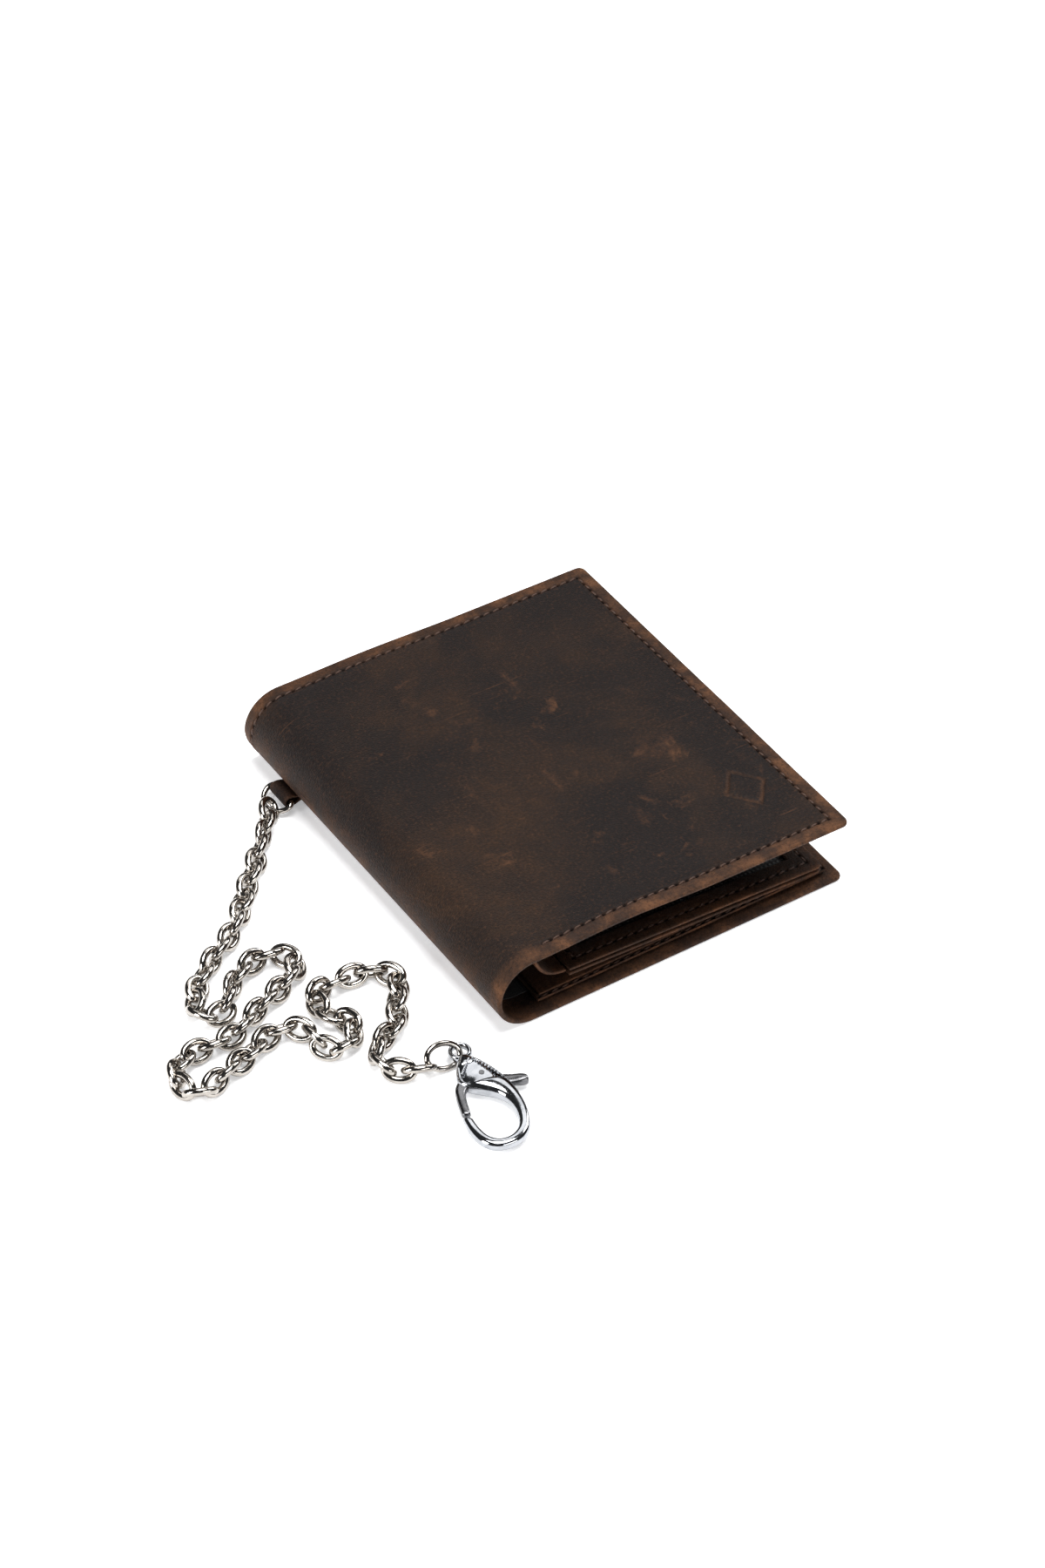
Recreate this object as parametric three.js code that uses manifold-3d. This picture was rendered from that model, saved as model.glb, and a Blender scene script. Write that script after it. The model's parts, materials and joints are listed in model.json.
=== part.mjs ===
// Bifold leather chain wallet, lying closed on its back cover with the chain beside it.
// Millimetres, +Z up. The origin is under the middle of the closed wallet, on the surface it lies on.
// +X runs from the rolled spine to the free edges, +Y along the spine.

import * as THREE from "three";
import { mergeVertices } from "three/addons/utils/BufferGeometryUtils.js";
import Module from "manifold-3d";

const wasm = await Module();
wasm.setup();

// ---------------------------------------------------------------- driving dimensions

const wallet = { width: 103.2, height: 120, thickness: 20 };
const backShort = 1.1;          // the back cover stops this much short of the front cover's free edge
const leather = 1.3;            // outer leather
const lining = 0.3;             // note-compartment cloth
const panel = 0.7;              // inner leather panels
const pocket = 0.6;             // card and slip pocket leather
const ply = 0.2;                // air between stacked sheets
const gap = 0.3;                // air between neighbouring edges
const past = 1;                 // how far a cutting solid runs past what it cuts
const panelInset = 3;           // inner sheets stop this far inside the outer leather's edges
const cornerRadius = 2;
const coverDroop = 0.8;         // degrees the closed front cover slopes down to its free edge

const spineStart = 202.5;       // degrees around the fold where the rigid back part of the spine ends
const spineEnd = 90;            // and where the front cover starts
const spineSlats = 3;

const leafLayer = { leather: 0.8, mesh: 0.3 };
const leafBorder = 6.5;         // leather left around the identity window
const windowOverlap = 3;        // the mesh reaches this far under the border
const leafStrip = 0.9;
// The leaf's distances from the fold's middle and from the wallet's other edges.
const leafMargin = { fold: 11.6, free: 6.2, low: 2, high: 3 };
const leafClear = { fold: 3.7, free: 0.7 };   // air under the leaf's two long edges
const leafHang = { x: 2.2, z: 0.7 };          // the strip's top edge, from the fold and the panel

const cardPockets = 3;
const pocketMargin = 1;         // pockets stop this far inside the panel they are sewn to
const slipMouth = 18.6;         // from the front cover's free edge to the slip pocket's mouth

const tab = { fromEnd: 19.5, width: 7.6, ply: 0.8, proud: 0.3, barZ: 2.9, tail: 2 };
const ring = { wire: 1.5, depth: 5.3, side: 0.35, rest: 0.1 };

const chainThickness = 5.4;     // height of the alternating links as they lie
const chainSides = 8;
const chainSteps = 78;

const claspSeat = { x: -11.6, y: -104.4, turn: -18.3 };   // from the D-ring's bar
const clasp = { thickness: 4.6, slot: 1.9, pin: 0.7, fit: 0.2, bevel: 0.5 };
const claspPivot = { t: 2.2, s: 7.2 };
const eye = { t: -0.7, s: -2.4, radius: 2.5, wire: 0.5 };
const endRing = { length: 10.6, width: 7.6, wire: 1.5, lean: 49, dip: 11.5 };

// ---------------------------------------------------------------- derived places

const spineX = -wallet.width / 2;
const foldRadius = wallet.thickness / 2;
const foldX = spineX + foldRadius;
const foldZ = foldRadius;
const freeX = wallet.width / 2;
const backFreeX = freeX - backShort;
const halfY = wallet.height / 2;
const liningTop = leather + ply + lining;
const panelLow = liningTop + ply;
const panelTop = panelLow + panel;
const pocketLow = panelTop + ply;
const pocketTop = pocketLow + pocket;
const coverLength = freeX - foldX;
const slatSweep = (spineStart - spineEnd) / spineSlats;
const edgeAngle = THREE.MathUtils.radToDeg(gap / 2 / foldRadius);
const innerHalfY = halfY - panelInset;
const innerFreeX = backFreeX - panelInset;
const leafHinge = { x: foldX + leafHang.x, z: wallet.thickness - panelTop - leafHang.z };
const leafLeft = foldX + leafMargin.fold;
const leafLength = freeX - leafMargin.free - leafLeft;
const leafLowLeft = pocketTop + leafClear.fold;
const leafLowRight = panelTop + leafClear.free;
const wireRadius = ring.wire / 2;
const ringHalf = tab.width / 2 + wireRadius + ring.side;
const barX = spineX - tab.proud;
const tabY = halfY - tab.fromEnd;
const tabTail = foldX + tab.tail;

const rad = THREE.MathUtils.degToRad;

// ---------------------------------------------------------------- materials

const finish = (color, roughness, metalness) =>
  new THREE.MeshStandardMaterial({ color, roughness, metalness });
const outerLeather = () => finish(0x3a2417, 0.62, 0);
const innerLeather = () => finish(0x422a1b, 0.66, 0);
const cloth = () => finish(0x16130f, 0.9, 0);
const windowMesh = () => finish(0x0c0c0d, 0.55, 0);
const nickel = () => finish(0xc9c6c2, 0.2, 1);
const steel = () => finish(0x9a9a9c, 0.3, 1);

// ---------------------------------------------------------------- helpers

function toSolid(geometry) {
  const bare = geometry.index ? geometry.toNonIndexed() : geometry.clone();
  bare.deleteAttribute("normal");
  bare.deleteAttribute("uv");
  const merged = mergeVertices(bare, 1e-4);
  return new wasm.Manifold(new wasm.Mesh({
    numProp: 3,
    vertProperties: new Float32Array(merged.attributes.position.array),
    triVerts: new Uint32Array(merged.index.array),
  }));
}

function toGeometry(solid) {
  const mesh = solid.getMesh();
  const geometry = new THREE.BufferGeometry();
  geometry.setAttribute("position", new THREE.BufferAttribute(new Float32Array(mesh.vertProperties), 3));
  geometry.setIndex(new THREE.BufferAttribute(new Uint32Array(mesh.triVerts), 1));
  geometry.computeVertexNormals();
  return geometry;
}

function node(name, geometry, material, parent) {
  const mesh = new THREE.Mesh(geometry, material);
  mesh.name = name;
  parent.add(mesh);
  return mesh;
}

// A flat sheet with rounded corners, from (x0, y0, z0) to (x1, y1, z1).
function sheet(x0, x1, y0, y1, z0, z1, radius = 0) {
  const shape = new THREE.Shape();
  if (radius === 0) {
    shape.moveTo(x0, y0).lineTo(x1, y0).lineTo(x1, y1).lineTo(x0, y1).closePath();
  } else {
    const r = radius;
    shape.moveTo(x0, y0).lineTo(x1 - r, y0).absarc(x1 - r, y0 + r, r, -Math.PI / 2, 0);
    shape.lineTo(x1, y1 - r).absarc(x1 - r, y1 - r, r, 0, Math.PI / 2).lineTo(x0, y1).closePath();
  }
  const options = { depth: z1 - z0, bevelEnabled: false, curveSegments: 4 };
  return new THREE.ExtrudeGeometry(shape, options).translate(0, 0, z0);
}

// Extrudes an outline drawn in the XZ plane along Y, from y0 to y1.
function alongY(shape, y0, y1, curveSegments = 10) {
  const geometry = new THREE.ExtrudeGeometry(shape, { depth: y1 - y0, bevelEnabled: false, curveSegments });
  return geometry.rotateX(Math.PI / 2).translate(0, y1, 0);
}

// The rolled sheet between two angles around the fold, from radius inner to radius outer.
function foldSector(outer, inner, fromDegrees, toDegrees) {
  const shape = new THREE.Shape();
  shape.absarc(foldX, foldZ, outer, rad(fromDegrees), rad(toDegrees), true);
  shape.absarc(foldX, foldZ, inner, rad(toDegrees), rad(fromDegrees), false);
  shape.closePath();
  return shape;
}

// A sheet that lies flat on the back side and rolls up to where the first slat starts.
function rolledBack(outer, thickness, endX) {
  const inner = outer - thickness;
  const start = rad(spineStart + edgeAngle);
  const shape = new THREE.Shape();
  shape.moveTo(endX, foldZ - outer);
  shape.lineTo(endX, foldZ - inner);
  shape.lineTo(foldX, foldZ - inner);
  shape.absarc(foldX, foldZ, inner, rad(270), start, true);
  shape.absarc(foldX, foldZ, outer, start, rad(270), false);
  shape.closePath();
  return shape;
}

// The slit that the anchor tab's neck passes through, cut with clearance all round.
function tabSlit() {
  const half = tab.width / 2 + gap;
  const neck = tab.ply + gap;
  return toSolid(sheet(spineX - past, foldX, tabY - half, tabY + half, tab.barZ - neck, tab.barZ + neck));
}

const root = new THREE.Group();

// ---------------------------------------------------------------- back side, which lies on the surface

const cornerCut = toSolid(
  sheet(spineX - past, backFreeX, -halfY, halfY, -past, wallet.thickness, cornerRadius),
);
const backShell = toSolid(alongY(rolledBack(foldRadius, leather, backFreeX), -halfY, halfY))
  .intersect(cornerCut)
  .subtract(tabSlit());
node("back_cover", toGeometry(backShell), outerLeather(), root);

const liningShell = toSolid(
  alongY(rolledBack(foldRadius - leather - ply, lining, innerFreeX), -innerHalfY, innerHalfY),
).subtract(tabSlit());
node("note_lining_back", toGeometry(liningShell), cloth(), root);

const panelStartX = tabTail + gap + pocketMargin;
node(
  "back_panel",
  sheet(panelStartX, innerFreeX, -innerHalfY, innerHalfY, panelLow, panelTop, cornerRadius),
  innerLeather(),
  root,
);

// The slip pocket's mouth faces the free edge, and it stays below the sloping leaf.
const pocketHalfY = innerHalfY - pocketMargin;
node(
  "back_slip_pocket",
  sheet(panelStartX + pocketMargin, freeX - slipMouth, -pocketHalfY, pocketHalfY, pocketLow, pocketTop),
  innerLeather(),
  root,
);

// ---------------------------------------------------------------- spine slats between the two covers

for (let i = 0; i < spineSlats; i += 1) {
  const from = spineStart - i * slatSweep - edgeAngle;
  const to = spineStart - (i + 1) * slatSweep + edgeAngle;
  const outer = foldSector(foldRadius, foldRadius - leather, from, to);
  node(`spine_panel_${i + 1}`, alongY(outer, -halfY, halfY, 5), outerLeather(), root);
  const liningOuter = foldRadius - leather - ply;
  const inner = foldSector(liningOuter, liningOuter - lining, from, to);
  node(`note_lining_spine_${i + 1}`, alongY(inner, -innerHalfY, innerHalfY, 5), cloth(), root);
}

// ---------------------------------------------------------------- front cover, hinged at the top of the spine

const front = new THREE.Group();
front.position.set(foldX, 0, wallet.thickness);
front.rotation.y = rad(coverDroop);
root.add(front);

const coverInner = coverLength - panelInset;
node(
  "front_cover",
  sheet(gap / 2, coverLength, -halfY, halfY, -leather, 0, cornerRadius),
  outerLeather(),
  front,
);
node(
  "note_lining_front",
  sheet(gap / 2, coverInner, -innerHalfY, innerHalfY, -liningTop, -liningTop + lining),
  cloth(),
  front,
);
const leafMountX = leafHinge.x - foldX;
node(
  "front_panel",
  sheet(leafMountX - leafStrip, coverInner, -innerHalfY, innerHalfY, -panelTop, -panelLow, cornerRadius),
  innerLeather(),
  front,
);
const cardPocketHeight = (2 * pocketHalfY - (cardPockets - 1) * gap) / cardPockets;
for (let i = 0; i < cardPockets; i += 1) {
  const low = -pocketHalfY + i * (cardPocketHeight + gap);
  const pocketEnd = coverInner - pocketMargin / 2;
  node(
    `card_pocket_${i + 1}`,
    sheet(leafMountX + leafStrip, pocketEnd, low, low + cardPocketHeight, -pocketTop, -pocketLow),
    innerLeather(),
    front,
  );
}

// ---------------------------------------------------------------- identity leaf between the covers

const leafGroup = new THREE.Group();
leafGroup.position.set(leafLeft, 0, leafLowLeft);
leafGroup.rotation.y = Math.asin((leafLowLeft - leafLowRight) / leafLength);
root.add(leafGroup);

const leafLow = -halfY + leafMargin.low;
const leafHigh = halfY - leafMargin.high;
const meshLow = leafLayer.leather + ply;
const frameLow = meshLow + leafLayer.mesh + ply;
const meshInset = leafBorder - windowOverlap;

node(
  "id_backing",
  sheet(0, leafLength, leafLow, leafHigh, 0, leafLayer.leather, cornerRadius),
  innerLeather(),
  leafGroup,
);
node(
  "id_window",
  sheet(
    meshInset,
    leafLength - meshInset,
    leafLow + meshInset,
    leafHigh - meshInset,
    meshLow,
    meshLow + leafLayer.mesh,
  ),
  windowMesh(),
  leafGroup,
);
const frameHole = toSolid(
  sheet(leafBorder, leafLength - leafBorder, leafLow + leafBorder, leafHigh - leafBorder, 0, foldRadius),
);
const frameSolid = toSolid(
  sheet(0, leafLength, leafLow, leafHigh, frameLow, frameLow + leafLayer.leather, cornerRadius),
).subtract(frameHole);
node("id_frame", toGeometry(frameSolid), innerLeather(), leafGroup);

// The strip that carries the leaf curves down from under the front cover to the leaf's left edge.
function leafStripShape() {
  const endX = leafLeft - gap;
  const endLow = leafLowLeft + leafLayer.leather;
  const bend = leafHinge.x + 2 * leafStrip;
  const shape = new THREE.Shape();
  shape.moveTo(leafHinge.x - leafStrip / 2, leafHinge.z);
  shape.quadraticCurveTo(bend, endLow - ply, endX, endLow);
  shape.lineTo(endX, endLow + leafStrip);
  shape.quadraticCurveTo(bend + leafStrip, endLow + leafStrip, leafHinge.x + leafStrip / 2, leafHinge.z);
  shape.closePath();
  return shape;
}
const strip = alongY(leafStripShape(), leafLow + pocketMargin, leafHigh - pocketMargin, 6);
node("leaf_strip", strip, innerLeather(), root);

// ---------------------------------------------------------------- anchor tab and D-ring at the spine

// The leather loops round the ring's bar, and its neck runs in through the slit to be sewn inside.
function tabSolid() {
  const inner = wireRadius + gap;
  const outer = inner + tab.ply;
  const y0 = tabY - tab.width / 2;
  const y1 = tabY + tab.width / 2;
  const loop = new THREE.CylinderGeometry(outer, outer, tab.width, 20).translate(barX, tabY, tab.barZ);
  const hole = new THREE.CylinderGeometry(inner, inner, tab.width + 2 * past, 20)
    .translate(barX, tabY, tab.barZ);
  const neck = sheet(barX + inner, tabTail, y0, y1, tab.barZ - tab.ply, tab.barZ + tab.ply);
  return toSolid(loop).add(toSolid(neck)).subtract(toSolid(hole));
}
node("anchor_tab", toGeometry(tabSolid()), innerLeather(), root);

// A straight bar and half an oval, lying down towards the surface from the bar.
function dRingSolid() {
  const oval = new THREE.TorusGeometry(ringHalf, wireRadius, 8, 32);
  oval.scale(ring.depth / ringHalf, 1, 1);
  const half = 2 * ring.depth;
  const inside = new THREE.BoxGeometry(half, 2 * half, half).translate(half / 2, 0, 0);
  const bar = new THREE.CylinderGeometry(wireRadius, wireRadius, 2 * ringHalf, 10);
  const solid = toSolid(oval).subtract(toSolid(inside)).add(toSolid(bar));
  const ends = [-1, 1].map((side) =>
    toSolid(new THREE.SphereGeometry(wireRadius, 10, 8).translate(0, side * ringHalf, 0)));
  return solid.add(ends[0]).add(ends[1]);
}
const ringMesh = node("d_ring", toGeometry(dRingSolid()), nickel(), root);
ringMesh.position.set(barX, tabY, tab.barZ);
ringMesh.rotation.y = -Math.asin((tab.barZ - wireRadius - ring.rest) / ring.depth);

// ---------------------------------------------------------------- chain, laid loose on the surface

// The route's points are measured from the middle of the D-ring's bar.
const lead = new THREE.Group();
lead.position.set(barX, tabY, 0);
root.add(lead);

const chainClear = 0.05;
const chainZ = chainThickness / 2 + chainClear;
const chainRoute = [
  [-7.0, -4.3], [-12.3, -10.9], [-19.7, -19.1], [-27.3, -27.1], [-34.1, -34.9], [-41.1, -40.1],
  [-48.3, -44.7], [-54.3, -50.3], [-56.9, -56.5], [-52.7, -59.7], [-48.1, -55.7], [-43.3, -51.3],
  [-36.7, -48.5], [-30.5, -49.1], [-28.9, -54.5], [-34.3, -58.9], [-40.7, -61.9], [-47.7, -65.1],
  [-55.3, -67.9], [-63.3, -67.5], [-69.9, -69.3], [-72.9, -75.3], [-69.9, -80.3], [-63.3, -78.5],
  [-56.3, -75.9], [-49.1, -73.3], [-42.3, -72.3], [-38.5, -77.3], [-37.7, -83.9], [-31.5, -84.9],
  [-28.3, -79.3], [-31.3, -72.9], [-30.5, -66.7], [-23.1, -65.9], [-15.7, -67.3], [-10.9, -71.9],
  [-14.9, -78.9], [-19.7, -85.7], [-28.1, -91.1], [-28.3, -98.5], [-22.7, -101.5],
];
const routePoints = chainRoute.map(([x, y]) => new THREE.Vector3(x, y, chainZ));
const chainSection = new THREE.Shape();
chainSection.absarc(0, 0, chainThickness / 2, 0, 2 * Math.PI);
const chainGeometry = new THREE.ExtrudeGeometry(chainSection, {
  steps: chainSteps,
  curveSegments: chainSides,
  extrudePath: new THREE.CatmullRomCurve3(routePoints, false, "catmullrom", 0.5),
});
node("chain", chainGeometry, nickel(), lead);

// ---------------------------------------------------------------- clasp at the free end

// Outlines are in the clasp's own plane: t across to the thumb tab's side, s from the head to the hook.
const claspGroup = new THREE.Group();
claspGroup.position.set(claspSeat.x, claspSeat.y, 0);
claspGroup.rotation.z = rad(claspSeat.turn);
lead.add(claspGroup);

function plate(shape, low, high, bevel = 0) {
  const options = { curveSegments: 3, bevelEnabled: bevel > 0, bevelSize: bevel, bevelThickness: bevel };
  options.bevelOffset = -bevel;
  options.bevelSegments = 1;
  options.depth = high - low - 2 * bevel;
  return new THREE.ExtrudeGeometry(shape, options).translate(0, 0, low + bevel);
}

const onPlane = (points) => points.map(([t, s]) => new THREE.Vector2(t, -s));

const claspMid = clasp.thickness / 2;
const noseS = 18.9;             // where the gate meets the hook's nose, on the outside
const noseRun = 1.5;            // and how much further along on the inside, so that the gate swings past it

function claspBodySolid() {
  const shape = new THREE.Shape();
  shape.moveTo(-1.8, -0.2);
  shape.splineThru(onPlane([[0, -0.7], [2.2, 0.6], [5.2, 4.2], [7.8, 8.4], [9.5, 13.4], [10.3, 18.6],
    [10.1, 23.9], [8.2, 28.4], [4.6, 31.1], [0.6, 31.3], [-2.8, 29.0], [-4.9, 25.2], [-5.7, noseS]]));
  shape.lineTo(-3.0, -noseS - noseRun);
  shape.splineThru(onPlane([[-2.6, 22.6], [-1.2, 26.0], [1.4, 27.9], [4.4, 27.7], [6.8, 25.2],
    [7.5, 21.2], [6.9, 17.2], [4.8, 14.0], [1.6, 12.2], [-1.4, 10.8], [-4.3, 8.9]]));
  shape.splineThru(onPlane([[-3.9, 6.2], [-3.1, 2.8], [-1.8, 0.2]]));
  const eyeTorus = new THREE.TorusGeometry(eye.radius, eye.wire, 8, 20).translate(eye.t, -eye.s, claspMid);
  const slot = new THREE.Shape(onPlane([[-8, 5.0], [1.0, 4.2], [4.6, 4.2], [14, 2.0], [14, 13.0],
    [6.2, 11.6], [-8, 12.6]]));
  const slotHalf = clasp.slot / 2 + clasp.fit;
  const slotSolid = toSolid(plate(slot, claspMid - slotHalf, claspMid + slotHalf));
  const bore = new THREE.CylinderGeometry(clasp.pin + clasp.fit, clasp.pin + clasp.fit, 20, 16)
    .rotateX(Math.PI / 2).translate(claspPivot.t, -claspPivot.s, 0);
  return toSolid(plate(shape, 0, clasp.thickness, clasp.bevel))
    .add(toSolid(eyeTorus))
    .subtract(slotSolid)
    .subtract(toSolid(bore));
}
node("clasp_body", toGeometry(claspBodySolid()), steel(), claspGroup);

// The trigger is one piece: hub, thumb tab and the gate arm that closes the hook.
const hubThickness = 1.1;
const hubLow = claspMid - clasp.slot / 2;

function claspTriggerSolid() {
  const hub = new THREE.Shape();
  hub.absarc(claspPivot.t, -claspPivot.s, 2.3, 0, 2 * Math.PI);
  const arm = new THREE.Shape(onPlane([[1.4, 5.0], [3.0, 5.2], [12.4, 9.6], [12.2, 11.2], [9.4, 11.0],
    [3.4, 9.4], [-2.2, 10.6], [-3.2, 12.6], [-4.6, 12.6], [-4.9, 10.4]]));
  const gate = new THREE.Shape(onPlane([[-4.9, 10.2], [-2.4, 11.6], [-2.8, 14.6],
    [-3.0, noseS + noseRun - gap], [-5.7, noseS - gap], [-5.6, 14.6]]));
  const bore = new THREE.CylinderGeometry(clasp.pin + clasp.fit, clasp.pin + clasp.fit, 20, 16)
    .rotateX(Math.PI / 2).translate(claspPivot.t, -claspPivot.s, 0);
  return toSolid(plate(hub, hubLow, hubLow + hubThickness))
    .add(toSolid(plate(arm, hubLow, hubLow + hubThickness)))
    .add(toSolid(plate(gate, 0.3, clasp.thickness - 0.3, clasp.bevel)))
    .subtract(toSolid(bore));
}
node("clasp_trigger", toGeometry(claspTriggerSolid()), nickel(), claspGroup);

const pin = new THREE.CylinderGeometry(clasp.pin, clasp.pin, clasp.thickness - 0.4, 16).rotateX(Math.PI / 2);
node("clasp_pin", pin, steel(), claspGroup).position.set(claspPivot.t, -claspPivot.s, claspMid);

// The torsion spring's coil sits beside the hub on the pin.
const springWire = (clasp.slot - hubThickness - clasp.fit) / 2;
const spring = new THREE.TorusGeometry(clasp.pin + clasp.fit + springWire, springWire, 8, 20);
node("clasp_spring", spring, steel(), claspGroup)
  .position.set(claspPivot.t, -claspPivot.s, hubLow + hubThickness + clasp.fit / 2 + springWire);

// ---------------------------------------------------------------- ring that joins the chain to the clasp's eye

function ovalRing() {
  const longHalf = (endRing.length - endRing.wire) / 2;
  const wideHalf = (endRing.width - endRing.wire) / 2;
  const geometry = new THREE.TorusGeometry(wideHalf, endRing.wire / 2, 8, 28);
  return geometry.scale(longHalf / wideHalf, 1, 1);
}
const eyeSeat = new THREE.Vector3(eye.t, -eye.s, claspMid)
  .applyEuler(new THREE.Euler(0, 0, rad(claspSeat.turn)))
  .add(new THREE.Vector3(claspSeat.x, claspSeat.y, 0));
// The ring leans on the surface at its middle and dips to pass through the eye at the eye's own height.
const towardsChain = new THREE.Vector3(-1, 0.06, 0).normalize();
const endRingHalf = (endRing.length - endRing.wire) / 2;
const endRingDip = rad(endRing.dip);
const endRingMesh = node("end_ring", ovalRing(), nickel(), lead);
endRingMesh.position.copy(eyeSeat).addScaledVector(towardsChain, endRingHalf * Math.cos(endRingDip));
endRingMesh.position.z = eyeSeat.z + endRingHalf * Math.sin(endRingDip);
const endRingTurn = Math.atan2(-towardsChain.y, -towardsChain.x);
endRingMesh.rotation.set(rad(endRing.lean), endRingDip, endRingTurn, "ZYX");

export default root;
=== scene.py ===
# %% [markdown]
# # A bifold chain wallet
# The wallet is one piece of oiled leather rolled round a fold, with lining, panels, pockets and a window
# leaf inside, and a chain with a lobster clasp outside. The plain solids and their joints come from the
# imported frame. This file makes what shows: leather with its sewing, cast and bent metal, and the light.

import json
import math

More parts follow.
